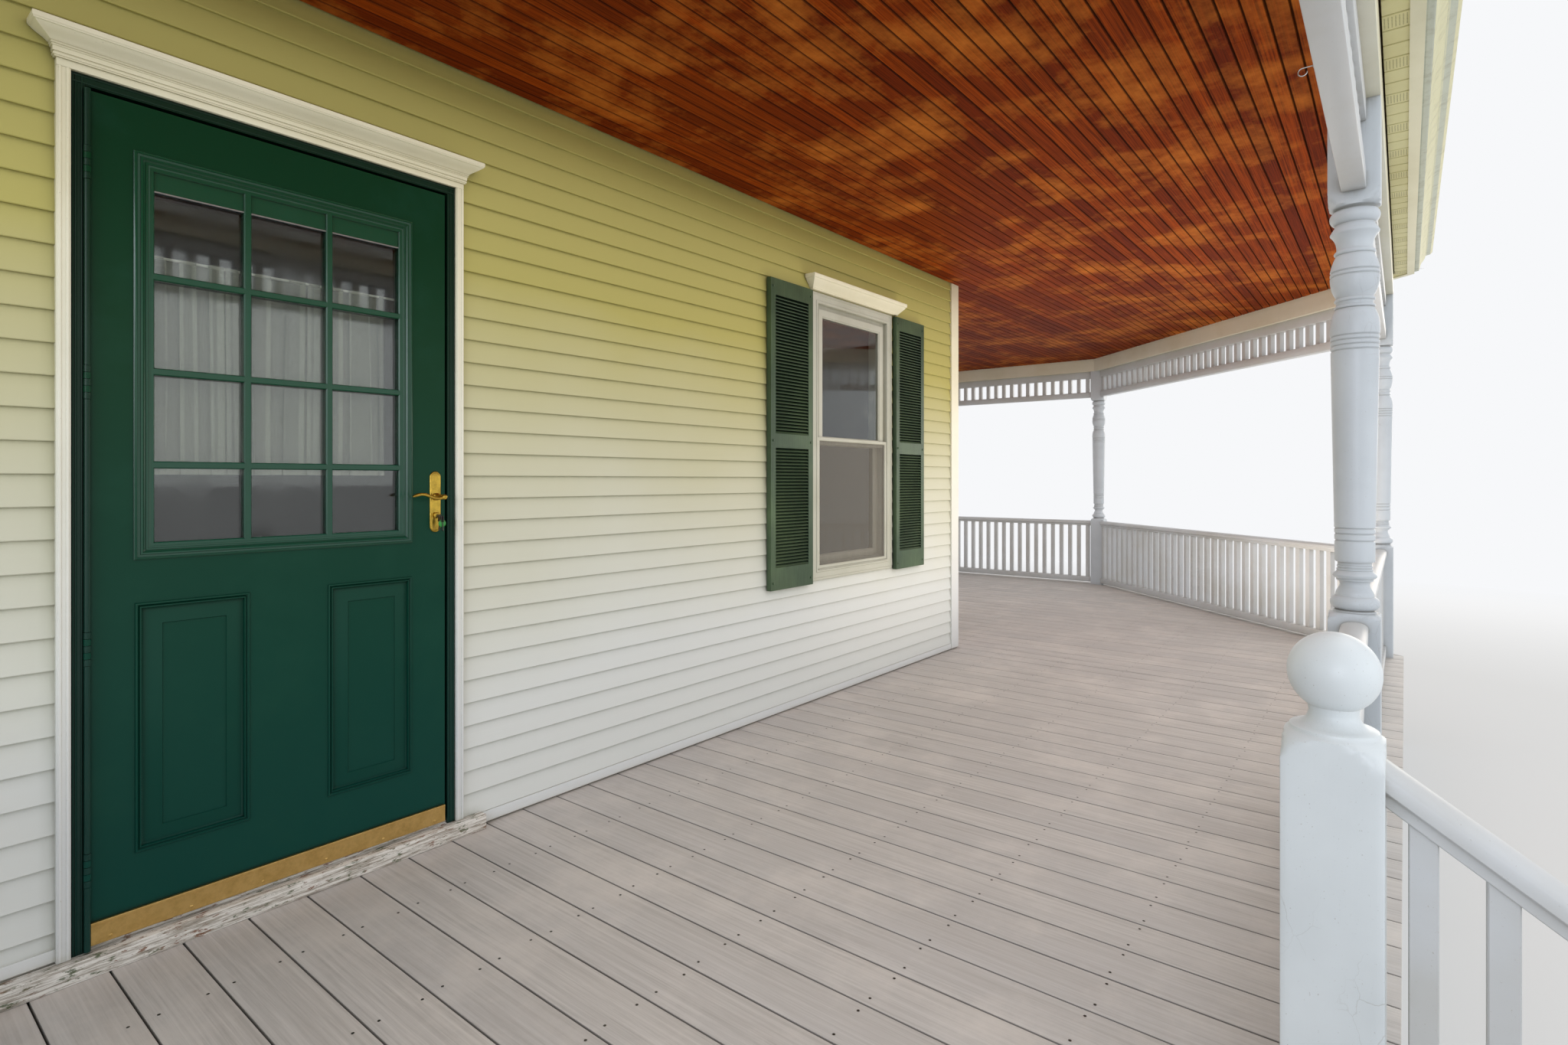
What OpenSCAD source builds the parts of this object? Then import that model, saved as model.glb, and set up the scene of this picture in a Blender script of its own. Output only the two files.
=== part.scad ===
// Wrap-around front porch with turned posts, against two walls of a sided house.
// Plan: the outer corner of the house walls is the working point (0, 0). The front wall
// runs towards -X and its porch side faces -Y; the side wall runs towards +Y and faces +X.
// Heights above the porch floor are added to deck_h. The whole is moved at the end so that
// the origin is at ground level under the middle of its outline.

/* [Plan] */
// Centre to centre of the front posts
bay_l = 3421; // [2400:1:4200]
// Front post line to the wall face
post_line = 2338; // [1800:1:3200]
// House corner to the first corner post, along the front
corner_run = 1519; // [1000:1:2400]
// Both legs of the slanting corner bay
corner_leg = 2587; // [1800:1:3200]
// Length of the side bay
side_bay_l = 2430; // [1800:1:3600]
// Clear width of the stair, post centre to newel centre
stair_w = 1820; // [1200:1:2400]
// How far the newel stands in front of the post line
newel_out = 36; // [0:1:60]
// Floor edge beyond the post centre line
deck_out = 125; // [90:1:200]

/* [Levels] */
// Floor of the porch above the ground
deck_h = 560; // [400:1:900]
// Ceiling above the floor
ceiling_h = 2530; // [2300:1:2900]
// Underside of the beam above the floor
beam_h = 2395; // [2200:1:2500]
// Underside of the frieze above the floor
frieze_h = 2106; // [1900:1:2300]
// Top of the hand rail above the floor
rail_top = 714; // [650:1:950]
// Top of the house walls above the ground
wall_top = 4380; // [4300:1:5200]

/* [Posts and rails] */
// Side of the square blocks of the posts
block_w = 140; // [110:1:180]
// Side of a baluster
baluster_w = 38; // [30:1:50]
// Centre to centre of balusters
baluster_gap = 98; // [80:1:120]
// Width of the hand rail
rail_w = 74; // [60:1:90]
// Width of the lower rails
low_rail_w = 66; // [50:1:80]

/* [Walls and openings] */
// Thickness of the framed wall behind the siding
wall_t = 138; // [90:1:220]
// Thickness of the siding
siding_t = 12; // [9:1:16]
// Height of one course of siding
course_h = 76.2; // [70:0.1:110]
// Left edge of the door leaf, measured from the house corner
door_x = -4656; // [-4800:1:-4500]
// Width of the door leaf
door_w = 890; // [800:1:960]
// Height of the door leaf
door_leaf_h = 2037; // [1950:1:2100]
// Underside of the door leaf above the floor
door_low = 63; // [55:1:90]
// Left edge of the window frame, measured from the house corner
window_x = -1732; // [-2000:1:-1500]
// Width of the window frame
window_w = 828; // [700:1:1000]
// Underside of the window above the floor
window_low = 636; // [500:1:900]
// Height of the window
window_h = 1539; // [1200:1:1700]

/* [Roof] */
// Rise of the roof for each unit of run
roof_slope = 0.3333; // [0.2:0.01:0.35]
// Fascia face beyond the post line
fascia_out = 180; // [150:1:260]
// Outer lip of the gutter beyond the post line
gutter_out = 273; // [250:1:400]

/* [Stair] */
// Going of one tread
tread_run = 279; // [250:1:320]
// Risers from ground to floor
risers = 3; // [3:1:4]

/* [Hidden] */
$fn = 48;

left_x = corner_run - 2 * bay_l;
near_x = corner_run - bay_l;
side_x = corner_run + corner_leg;
front_y = -post_line;
side_y = front_y + corner_leg;
back_y = side_y + side_bay_l;
mid_x = side_x / 2;
newel_x = left_x + stair_w;
newel_y = front_y - newel_out;
wall_left_x = left_x - gutter_out;
wall_back_y = back_y + gutter_out;
half = block_w / 2;
slant = tan(22.5);
base_proud = 2;
corner_trim_w = 100;
corner_proud = 6;

foot_newel_y = front_y - deck_out - (risers - 1) * tread_run + 35;
stair_front_y = foot_newel_y - half;
origin_x = (wall_left_x + side_x + gutter_out) / 2;
origin_y = (stair_front_y + wall_back_y) / 2;

riser_h = deck_h / risers;
board_t = 25;
joist_h = 184;
frame_top = deck_h - board_t;
frame_low = frame_top - joist_h;

eave_z = 3245;
roof_t = 110;
shingle_t = 12;
shingle_out = 200;
soffit_z = deck_h + ceiling_h + 15;
soffit_in = half + 6;
fascia_t = 38;

post_bottom = [[0, 690], [59, 690], [59, 742]];

function arc(cr, cz, r, a0, a1, n) =
    [for (i = [0:n]) [cr + r * cos(a0 + (a1 - a0) * i / n), cz + r * sin(a0 + (a1 - a0) * i / n)]];
function groove(r, z, d = 3) = [[r, z - 4], [r - d, z], [r, z + 4]];

// Plan corners of the porch, moved outwards by d; the two ends stop e behind the siding face
function ring(d, e = 0) = [
    [left_x - d, e], [left_x - d, front_y - d], [corner_run + d * slant, front_y - d],
    [side_x + d, side_y - d * slant], [side_x + d, back_y + d], [-e, back_y + d]];
function floor_outline(d, e = 0) = concat(ring(d, e), [[-e, e]]);

module placed() translate([-origin_x, -origin_y, 0]) children();
module slab(points, z0, z1) translate([0, 0, z0]) linear_extrude(z1 - z0) polygon(points);

// One mitred run of a band round the porch, between the offsets d0 and d1, with open mitre joints
mitre_gap = 0.3;
function unit(v) = v / norm(v);
function run_plan(i, d0, d1, g = mitre_gap) = let (a = ring(d0), b = ring(d1), u = g * unit(a[i + 1] - a[i]))
    [a[i] + u, a[i + 1] - u, b[i + 1] - u, b[i] + u];
module band(i, d0, d1, z0, z1) slab(run_plan(i, d0, d1), z0, z1);

// Children drawn along +X from a to b, with the house on their +Y side
module along(a, b) translate([a[0], a[1], 0]) rotate([0, 0, atan2(b[1] - a[1], b[0] - a[0])]) children();
function run_l(a, b) = norm([b[0] - a[0], b[1] - a[1]]);

// A section drawn in Y and Z, run along X
module run_section(length) rotate([90, 0, 90]) linear_extrude(length) children();

// Roof volume: everything under the five slopes, raised by up, inside the outline moved out by d
module hip_volume(up, d) {
    intersection() {
        slab(floor_outline(d), 2900, 5200);
        hip_side(0, up);
        hip_side(1, up);
        hip_side(2, up);
        hip_side(3, up);
        hip_side(4, up);
    }
}
module hip_side(i, up) {
    a = ring(0)[i];
    b = ring(0)[i + 1];
    deep = 16000;
    along(a, b) translate([-deep, 0, 0]) run_section(2 * deep + run_l(a, b))
        polygon([[-500, 2800], [-500, eave_z + up - (500 - fascia_out) * roof_slope],
            [deep, eave_z + up + (deep + fascia_out) * roof_slope], [deep, 2800]]);
}

// Turned part of a porch post, heights from the floor
module post_turning() {
    points = concat(post_bottom,
        arc(44, 770, 24, -90, 90, 8),
        [[58, 795], [58, 800], [53, 806], [46, 815], [42, 831], [45, 841], [50, 846], [50, 855],
         [60, 857], [62, 861], [62, 868], [59, 872], [50, 880], [42, 886], [39, 895], [42, 903],
         [50, 911], [55, 918], [56, 925]],
        groove(56, 973), groove(56, 995), groove(56, 1013),
        groove(67, 1598), groove(67.5, 1614), groove(67.5, 1630), groove(68, 1645),
        arc(46.5, 1690, 22, 0, 68, 5),
        [[52, 1722], [51, 1742], [51, 1750], [47, 1757], [42, 1765], [43, 1772], [50, 1786], [58, 1800], [63, 1817]],
        groove(64, 1832), groove(64, 1845),
        [[63, 1857], [58, 1876], [50, 1896], [48, 1903]],
        arc(46, 1912, 7, -80, 80, 4),
        [[48, 1922], [51, 1928], [53, 1938], [58, 1948], [65.5, 1953], [65.5, 1975], [62, 1986], [53, 1996]],
        arc(43, 2022, 25, -75, 75, 8),
        [[60, 2050], [60, 2064], [0, 2064]]);
    rotate_extrude() polygon(points);
}
module square_block(z0, z1) translate([-half, -half, z0]) cube([block_w, block_w, z1 - z0]);
module shoulder_block_up(z0, z1) {
    intersection() {
        square_block(z0, z1);
        rotate_extrude() polygon(concat([[0, z0 - 1], [102, z0 - 1], [102, z1 - 34]],
            [[98, z1 - 24], [91, z1 - 13], [81, z1 - 5], [69, z1], [0, z1]]));
    }
}
module shoulder_block_down(z0, z1) {
    intersection() {
        square_block(z0, z1);
        rotate_extrude() polygon([[0, z0], [69, z0], [81, z0 + 7], [91, z0 + 20], [97, z0 + 34],
            [101, z0 + 50], [101, z1 + 1], [0, z1 + 1]]);
    }
}
module porch_post(p) {
    color("whitesmoke") placed() translate([p[0], p[1], deck_h]) {
        shoulder_block_up(0, 738);
        post_turning();
        shoulder_block_down(2048, beam_h);
    }
}

// Square newel with turned shoulders and a ball, z0 is its foot, h the start of its shoulders
module newel(p, z0, h) {
    translate([p[0], p[1], z0]) {
        intersection() {
            square_block(0, h + 66);
            rotate_extrude() polygon([[0, -1], [100, -1], [100, h], [97, h + 18], [89, h + 36],
                [76, h + 52], [62, h + 62], [51, h + 66], [0, h + 66]]);
        }
        rotate_extrude() polygon(concat([[0, h + 60], [35, h + 60], [35, h + 92]],
            arc(0, h + 150, 67, -58, 90, 14)));
    }
}

// Rails and balusters
module loaf(w, h) {
    intersection() {
        translate([-w / 2, 0]) square([w, h]);
        translate([0, h - w * 0.62]) circle(w * 0.62);
    }
}
module bars(length, z0, z1) {
    n = round((length - block_w) / baluster_gap);
    pitch = (length - block_w) / n;
    for (i = [0:n - 1])
        translate([half + (i + 0.5) * pitch - baluster_w / 2, -baluster_w / 2, z0])
            cube([baluster_w, baluster_w, z1 - z0]);
}
module railing(a, b) {
    length = run_l(a, b);
    translate([0, 0, deck_h]) {
        difference() {
            along(a, b) union() {
                translate([0, 0, rail_top - 56]) run_section(length) loaf(rail_w, 56);
                bars(length, 70, rail_top - 50);
                translate([0, -low_rail_w / 2, 22]) cube([length, low_rail_w, 56]);
            }
            translate([a[0], a[1], 0]) square_block(-10, 900);
            translate([b[0], b[1], 0]) square_block(-10, 900);
        }
    }
}
module frieze(a, b) {
    length = run_l(a, b);
    translate([0, 0, deck_h]) {
        difference() {
            along(a, b) union() {
                translate([0, -low_rail_w / 2, frieze_h]) cube([length, low_rail_w, 60]);
                bars(length, frieze_h + 50, beam_h - 60);
                translate([0, -low_rail_w / 2, beam_h - 72]) cube([length, low_rail_w, 71.9]);
            }
            translate([a[0], a[1], 0]) square_block(frieze_h - 10, beam_h + 10);
            translate([b[0], b[1], 0]) square_block(frieze_h - 10, beam_h + 10);
        }
    }
}

left_end = [left_x, half - base_proud];
stair_p = [left_x, front_y];
newel_p = [newel_x, newel_y];
near_p = [near_x, front_y];
corner_p = [corner_run, front_y];
side_p = [side_x, side_y];
back_p = [side_x, back_y];
mid_p = [mid_x, back_y];
right_end = [base_proud - half, back_y];

module clipped_to_porch(z0, z1) {
    intersection() {
        slab(floor_outline(-1, 0), z0, z1);
        children();
    }
}

// Ground and floor
pier_in = 75;
pier_r = 100;
module pier(p) translate([p[0], p[1], 0]) cylinder(r = pier_r, h = frame_low);
module piers() {
    color("darkgray") placed() {
        for (p = [for (i = [1:4]) ring(-pier_in)[i]]) pier(p);
        for (x = [newel_x, near_x]) pier([x, front_y + pier_in]);
        pier([mid_x, back_y - pier_in]);
        for (p = [[near_x, -1100], [newel_x, -1100], [corner_run, -900], [mid_x, 900]]) pier(p);
    }
}
module foundation() {
    t = siding_t + wall_t;
    color("gray") placed() {
        slab([[wall_left_x, siding_t], [wall_left_x, t], [-siding_t, t], [-siding_t, siding_t]], 0, deck_h);
        slab([[-t, t + mitre_gap], [-t, wall_back_y], [-siding_t, wall_back_y], [-siding_t, t + mitre_gap]],
            0, deck_h);
    }
}
module floor_frame() {
    rim_t = 38;
    d = deck_out - 30;
    free = 1;
    inner = d - rim_t - free;
    color("burlywood") placed() {
        for (i = [0:4]) band(i, d, d - rim_t, frame_low, frame_top);
        translate([left_x - inner, siding_t - rim_t, frame_low])
            cube([inner - left_x - siding_t, rim_t - free, joist_h]);
        translate([-siding_t, siding_t, frame_low]) cube([rim_t, back_y + inner - siding_t, joist_h]);
        intersection() {
            slab(concat([[left_x - inner, -rim_t]], [for (i = [1:4]) ring(inner)[i]],
                [[rim_t - siding_t + free, back_y + inner], [rim_t - siding_t + free, -rim_t]]), frame_low, frame_top);
            for (y = [front_y + 400:400:back_y - 200])
                translate([left_x - 500, y, frame_low]) cube([11000, rim_t, joist_h]);
        }
    }
}
module porch_floor() {
    g = ring(deck_out, siding_t);
    seam = 2;
    color("tan") placed() {
        slab([g[0], g[1], [-seam, g[1][1]], [-seam, siding_t]], frame_top, deck_h);
        slab([[seam, g[1][1]], g[2], g[3], g[4], g[5], [-siding_t, siding_t + seam],
            [seam, siding_t + seam]], frame_top, deck_h);
    }
}
module skirt_panel(a, b) {
    length = run_l(a, b);
    n = round(length / 112);
    pitch = length / n;
    along(a, b) {
        translate([0, 0, 30]) cube([length, 22, 70]);
        translate([0, 0, frame_low - 80]) cube([length, 22, 70]);
        for (i = [0:n - 1])
            translate([(i + 0.5) * pitch - 44, -14, 12]) cube([88, 16, frame_low - 16]);
    }
}
module skirt() {
    g = ring(deck_out - 60);
    color("whitesmoke") placed() {
        skirt_panel([g[0][0], g[0][1] - 20], [g[1][0], g[1][1] + 40]);
        skirt_panel([g[1][0] + 70, g[1][1]], [g[1][0] + 180, g[1][1]]);
        skirt_panel([newel_x + 70, g[1][1]], [g[2][0] - 40, g[2][1]]);
        skirt_panel([g[2][0] + 60, g[2][1] + 60], [g[3][0] - 60, g[3][1] - 60]);
        skirt_panel([g[3][0], g[3][1] + 40], [g[4][0], g[4][1] - 40]);
        skirt_panel([g[4][0] - 60, g[4][1]], [g[5][0] + 20, g[5][1]]);
    }
}

// Stair
stair_x0 = left_x + half;
stair_x1 = newel_x - half;
stair_top_y = front_y - deck_out + 30;
module stair_stringers() {
    depth = (risers - 1) * tread_run;
    color("whitesmoke") placed() for (x = [stair_x0 + 20, (stair_x0 + stair_x1) / 2 - 19, stair_x1 - 58])
        translate([x, stair_top_y - 30, 0]) rotate([90, 0, 90]) linear_extrude(38)
            polygon([[0, 0], [0, frame_top], [-10, frame_top],
                [-10, deck_h - riser_h - 30], [-tread_run, deck_h - riser_h - 30],
                [-tread_run, deck_h - 2 * riser_h - 30], [-depth, deck_h - 2 * riser_h - 30], [-depth, 0]]);
}
module stair_treads() {
    color("tan") placed() for (i = [1:risers - 1])
        translate([stair_x0 + 1, stair_top_y - 30 - i * tread_run - 26, deck_h - i * riser_h - 30])
            cube([stair_x1 - stair_x0 - 2, tread_run + 12, 30]);
}
module newels() {
    rail_drop = rail_slope() * (front_y - foot_newel_y);
    color("whitesmoke") placed() {
        newel(newel_p, deck_h, 700);
        newel([left_x, foot_newel_y], 0, deck_h + 700 - rail_drop);
        newel([newel_x, foot_newel_y], 0, deck_h + 700 - rail_drop);
    }
}
function rail_slope() = riser_h / tread_run;
module stair_rail(x, y_top) {
    y0 = y_top - half;
    y1 = foot_newel_y + half;
    drop = rail_slope() * (y0 - y1);
    top = deck_h + rail_top - 8;
    n = round((y0 - y1) / baluster_gap);
    pitch = (y0 - y1) / n;
    translate([x, 0, 0]) {
        intersection() {
            translate([-200, y1, 0]) cube([400, y0 - y1, 3000]);
            stair_bar(y0, top - 58) loaf(rail_w, 58);
        }
        intersection() {
            translate([-200, y1, 0]) cube([400, y0 - y1, 3000]);
            stair_bar(y0, top - 600) translate([-low_rail_w / 2, 0]) square([low_rail_w, 50]);
        }
        for (i = [0:n - 1]) {
            y = y0 - (i + 0.5) * pitch;
            z = top - rail_slope() * (y0 - y);
            translate([-baluster_w / 2, y - baluster_w / 2, z - 575])
                cube([baluster_w, baluster_w, 535]);
        }
    }
}
// A section drawn across and up, run down the slope of the stair from (y, z)
module stair_bar(y, z) {
    angle = atan(rail_slope());
    translate([0, y, z]) rotate([angle, 0, 0]) translate([0, 300, 0])
        rotate([90, 0, 0]) linear_extrude(2000) children();
}
module stair_rails() {
    color("whitesmoke") placed() {
        stair_rail(left_x, front_y);
        stair_rail(newel_x, newel_y);
    }
}

// Posts
module stair_post() porch_post(stair_p);
module front_post() porch_post(near_p);
module front_corner_post() porch_post(corner_p);
module side_corner_post() porch_post(side_p);
module back_corner_post() porch_post(back_p);
module back_post() porch_post(mid_p);

// Railings and friezes
module newel_railing() color("white") placed() railing(newel_p, near_p);
module front_railing() color("white") placed() railing(near_p, corner_p);
module corner_railing() color("white") placed() railing(corner_p, side_p);
module side_railing() color("white") placed() railing(side_p, back_p);
module end_railings() {
    color("white") placed() {
        railing(left_end, stair_p);
        railing(back_p, mid_p);
        railing(mid_p, right_end);
    }
}
module stair_frieze() color("white") placed() frieze(stair_p, near_p);
module front_frieze() color("white") placed() frieze(near_p, corner_p);
module corner_frieze() color("white") placed() frieze(corner_p, side_p);
module side_frieze() color("white") placed() frieze(side_p, back_p);
module end_friezes() {
    color("white") placed() {
        frieze(left_end, stair_p);
        frieze(back_p, mid_p);
        frieze(mid_p, right_end);
    }
}

// Beams, cut to the underside of the roof
module beam_run(i) {
    intersection() {
        band(i, half, -half, deck_h + beam_h, 3600);
        hip_volume(-roof_t, 300);
    }
}
module front_beam() color("white") placed() beam_run(1);
module corner_beam() color("white") placed() beam_run(2);
module side_beam() color("white") placed() beam_run(3);
module end_beams() {
    color("white") placed() {
        beam_run(0);
        beam_run(4);
    }
}

// Ceiling, eave and roof
module ceiling() {
    free = 0.1;
    g = ring(-half - free);
    seam_x = g[2][0] - g[2][1];
    z = deck_h + ceiling_h;
    color("sienna") placed() {
        slab([g[1], g[2], [seam_x - 0.5, -0.5], [corner_proud, -0.5], [corner_proud, -corner_proud],
            [-corner_trim_w, -corner_proud], [-corner_trim_w, -0.5], [left_x + half, -0.5]], z, z + 12);
        slab([[corner_proud, 0], [seam_x, 0], g[3], g[4], [0, g[4][1]], [0, corner_trim_w],
            [corner_proud, corner_trim_w]], z, z + 12);
    }
}
module soffit() {
    color("wheat") placed() for (i = [0:4]) band(i, fascia_out - fascia_t, soffit_in, soffit_z, soffit_z + 12);
}
module fascia() {
    color("wheat") placed() for (i = [0:4]) band(i, fascia_out, fascia_out - fascia_t, soffit_z - 6, eave_z - 1);
}
// Gutter in three strips: its back, its floor and its curved front
gutter_z = soffit_z + 12;
module gutter_front() {
    z = gutter_z;
    polygon([[-201, z + 0.2], [-203, z + 0.2], [-208, z + 16], [-211, z + 34], [-217, z + 50], [-226, z + 64],
        [-234, z + 80], [-237, z + 94], [-243, z + 98], [-262, z + 104], [-gutter_out, z + 118],
        [-gutter_out, z + 132], [-264, z + 132], [-264, z + 129], [-gutter_out + 3, z + 129],
        [-gutter_out + 3, z + 119], [-260, z + 107], [-242, z + 102], [-234, z + 97], [-231, z + 82],
        [-223, z + 66], [-214, z + 52], [-208, z + 36], [-205, z + 17]]);
}
module gutter_strip(i) {
    a = ring(0)[i];
    b = ring(0)[i + 1];
    intersection() {
        band(i, 300, fascia_out, soffit_z, 3400);
        along(a, b) translate([-400, 0, 0]) run_section(run_l(a, b) + 800) children();
    }
}
module gutter() {
    color("ivory") placed() for (i = [0:4]) {
        gutter_strip(i) gutter_front();
        gutter_strip(i) translate([-200.8, gutter_z]) square([17.6, 3]);
        gutter_strip(i) translate([-fascia_out - 3, gutter_z]) square([3, 112]);
    }
}
module roof_deck() {
    color("peru") placed() difference() {
        hip_volume(0, fascia_out - fascia_t);
        hip_volume(-roof_t, 400);
    }
}
module roof_shingles() {
    color("dimgray") placed() difference() {
        hip_volume(shingle_t, shingle_out);
        hip_volume(0, 400);
    }
}

// House walls
rough_x0 = door_x - 32;
rough_x1 = door_x + door_w + 34;
rough_top = deck_h + door_low + door_leaf_h + 34;
casing_w = 26;
crown_z = rough_top + 18;
wall_back = siding_t + wall_t;
module wall_left() {
    color("antiquewhite") placed() translate([wall_left_x, siding_t, deck_h])
        cube([rough_x0 - wall_left_x, wall_t, wall_top - deck_h]);
}
module wall_over_door() {
    color("antiquewhite") placed() translate([rough_x0, siding_t, rough_top])
        cube([rough_x1 - rough_x0, wall_t, wall_top - rough_top]);
}
module window_hole(grow, y0, y1) {
    translate([window_x - grow, y0, deck_h + window_low - grow])
        cube([window_w + 2 * grow, y1 - y0, window_h + 2 * grow]);
}
module wall_right() {
    color("antiquewhite") placed() difference() {
        translate([rough_x1, siding_t, deck_h]) cube([-siding_t - rough_x1, wall_t, wall_top - deck_h]);
        window_hole(-20, 0, 400);
    }
}
module side_wall() {
    color("antiquewhite") placed() translate([-wall_back, wall_back, deck_h])
        cube([wall_t, wall_back_y - wall_back, wall_top - deck_h]);
}

// Siding: lap boards, each leaning back from its thick lower edge
siding_low = 43;
courses = ceil((wall_top - deck_h - siding_low) / course_h);
function course(i) = let (z = i * course_h) [[1.5, z], [0, z + 2], [9, z + course_h]];
module siding_section() polygon(concat([[siding_t, 0]], [for (i = [0:courses - 1]) each course(i)],
    [[siding_t, courses * course_h]]));
module siding_run(length) {
    intersection() {
        translate([0, 0, deck_h + siding_low]) run_section(length) siding_section();
        translate([-1, -20, 0]) cube([length + 2, 60, wall_top]);
    }
}
module siding() {
    color("lemonchiffon") placed() {
        difference() {
            translate([wall_left_x, 0, 0]) siding_run(-corner_trim_w - wall_left_x);
            translate([rough_x0 - casing_w, -50, 0])
                cube([rough_x1 - rough_x0 + 2 * casing_w, 100, crown_z]);
            translate([wall_left_x - 1, -50, 0]) cube([rough_x0 - wall_left_x, 100, deck_h + 82]);
            window_hole(0, -50, 50);
        }
        translate([0, corner_trim_w, 0]) rotate([0, 0, 90]) siding_run(wall_back_y - corner_trim_w);
    }
}
module corner_trim() {
    p = corner_proud;
    color("white") placed() for (z = [[deck_h + 8, deck_h + ceiling_h + 12], [4140, wall_top]])
        slab([[-corner_trim_w, siding_t], [-corner_trim_w, -p], [p, -p],
            [p, corner_trim_w], [-siding_t, corner_trim_w], [-siding_t, siding_t]], z[0], z[1]);
}
module base_trim() {
    color("white") placed() {
        translate([rough_x1 + casing_w, -base_proud, deck_h + 8])
            cube([-corner_trim_w - rough_x1 - casing_w, siding_t + base_proud, siding_low - 8]);
        translate([wall_left_x, -base_proud, deck_h + 54])
            cube([rough_x0 - casing_w - wall_left_x, siding_t + base_proud, 28]);
        translate([-siding_t, corner_trim_w, deck_h + 8])
            cube([siding_t + base_proud, wall_back_y - corner_trim_w, siding_low - 8]);
    }
}

// Moulded cap over an opening, with mitred returns; reach(z) is its projection
cap_reach = [[0, 18], [14, 18], [16, 24], [22, 28], [32, 36], [40, 47], [46, 58], [52, 62], [72, 62]];
module cap(x0, x1, z0) {
    deep = 62;
    translate([0, 0, z0]) intersection() {
        translate([x0, 0, 0]) run_section(x1 - x0)
            polygon(concat([[0, 0]], [for (p = cap_reach) [-p[1], p[0]]], [[0, 72]]));
        rotate([90, 0, 0]) linear_extrude(deep) polygon(concat(
            [for (p = cap_reach) [x0 + deep - p[1], p[0]]],
            [for (i = [len(cap_reach) - 1:-1:0]) [x1 - deep + cap_reach[i][1], cap_reach[i][0]]]));
    }
}

// Door
leaf_t = 44;
leaf_y = -4;
leaf_z = deck_h + door_low;
jamb_t = 26;
stop_y = leaf_y + leaf_t + 6;
hinge_x = door_x - 3;
hinge_y = leaf_y - 9;
module jamb_section(left_side) {
    s = left_side ? 1 : -1;
    polygon([[0, leaf_y], [s * jamb_t, leaf_y], [s * jamb_t, stop_y], [s * (jamb_t + 20), stop_y],
        [s * (jamb_t + 20), wall_back], [0, wall_back]]);
}
module door_frame() {
    low = deck_h + 50;
    color("darkgreen") placed() {
        translate([rough_x0, 0, low]) linear_extrude(rough_top - low) jamb_section(true);
        translate([rough_x1, 0, low]) linear_extrude(rough_top - low) jamb_section(false);
        translate([rough_x0 + 1, 0, rough_top]) rotate([90, 0, 90]) linear_extrude(rough_x1 - rough_x0 - 2)
            polygon([[leaf_y, 0], [leaf_y, -jamb_t], [stop_y, -jamb_t], [stop_y, -jamb_t - 20],
                [wall_back, -jamb_t - 20], [wall_back, 0]]);
    }
}
module door_trim() {
    low = deck_h + 50;
    color("ivory") placed() {
        difference() {
            translate([rough_x0 - casing_w, -14, low])
                cube([rough_x1 - rough_x0 + 2 * casing_w, siding_t + 14, crown_z - low]);
            translate([rough_x0, -50, low - 1]) cube([rough_x1 - rough_x0, 100, rough_top - low + 1]);
        }
        cap(rough_x0 - casing_w - 48, rough_x1 + casing_w + 48, crown_z);
    }
}
module door_sill() {
    low = deck_h;
    color("gainsboro") placed() {
        translate([-4878, -38, low]) cube([4878 - 3638, 36, 50]);
        translate([left_x + 38, -38, low]) cube([-4880 - left_x - 38, 36, 50]);
        translate([rough_x0, -2, low]) cube([rough_x1 - rough_x0, wall_back + 2, 50]);
    }
}
// A raised panel with sloping margins, centred on the face of the leaf
module raised_field(x, z, w, h, margin, rise) {
    intersection() {
        translate([x, 0, z]) rotate([90, 0, 90]) linear_extrude(w)
            polygon([[0, 0], [-rise, margin], [-rise, h - margin], [0, h]]);
        translate([x, 0, z]) linear_extrude(h)
            polygon([[0, 0], [margin, -rise], [w - margin, -rise], [w, 0]]);
    }
}
lite_x = 548 - 5118;
lite_w = 697;
lite_z = deck_h + 974;
lite_h = 1012;
module door_leaf() {
    panel_w = 252;
    color("darkgreen") placed() difference() {
        translate([door_x, leaf_y, leaf_z]) cube([door_w, leaf_t, door_leaf_h]);
        translate([lite_x + 30, leaf_y - 10, lite_z + 30]) cube([lite_w - 60, leaf_t + 20, lite_h - 60]);
        for (x = [lite_x, lite_x + lite_w - panel_w]) {
            difference() {
                translate([x, leaf_y - 1, deck_h + 249]) cube([panel_w, 8, 621]);
                translate([0, leaf_y + 7, 0]) raised_field(x + 6, deck_h + 255, panel_w - 12, 609, 42, 7);
            }
        }
    }
}
module door_glazing() {
    color("lightcyan") placed() translate([lite_x + 31, leaf_y + 16, lite_z + 31])
        cube([lite_w - 62, 12, lite_h - 62]);
}
glass_x0 = 595 - 5118;
glass_x1 = 1201 - 5118;
glass_z0 = deck_h + 1009;
glass_z1 = deck_h + 1897;
module lite_face(y0, y1, ya, yb) {
    difference() {
        translate([lite_x, y0, lite_z]) cube([lite_w, y1 - y0, lite_h]);
        translate([glass_x0, y0 - 5, glass_z0]) cube([glass_x1 - glass_x0, 60, glass_z1 - glass_z0]);
    }
    for (x = [785 - 5118, 992 - 5118])
        translate([x, ya, glass_z0 - 1]) cube([18, yb - ya, glass_z1 - glass_z0 + 2]);
    for (z = [1201, 1435, 1673])
        translate([glass_x0 - 1, ya, deck_h + z]) cube([glass_x1 - glass_x0 + 2, yb - ya, 18]);
}
module door_lite_frame() {
    color("darkgreen") placed() {
        lite_face(leaf_y - 10, leaf_y, leaf_y - 8, leaf_y + 15);
        lite_face(leaf_y + leaf_t, leaf_y + leaf_t + 10, leaf_y + 29, leaf_y + leaf_t + 8);
    }
}
module door_sweep() {
    color("goldenrod") placed() translate([door_x + 4, leaf_y - 9, leaf_z]) cube([door_w - 8, 9, 54]);
}
handle_x = 1319 - 5118;
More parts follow.
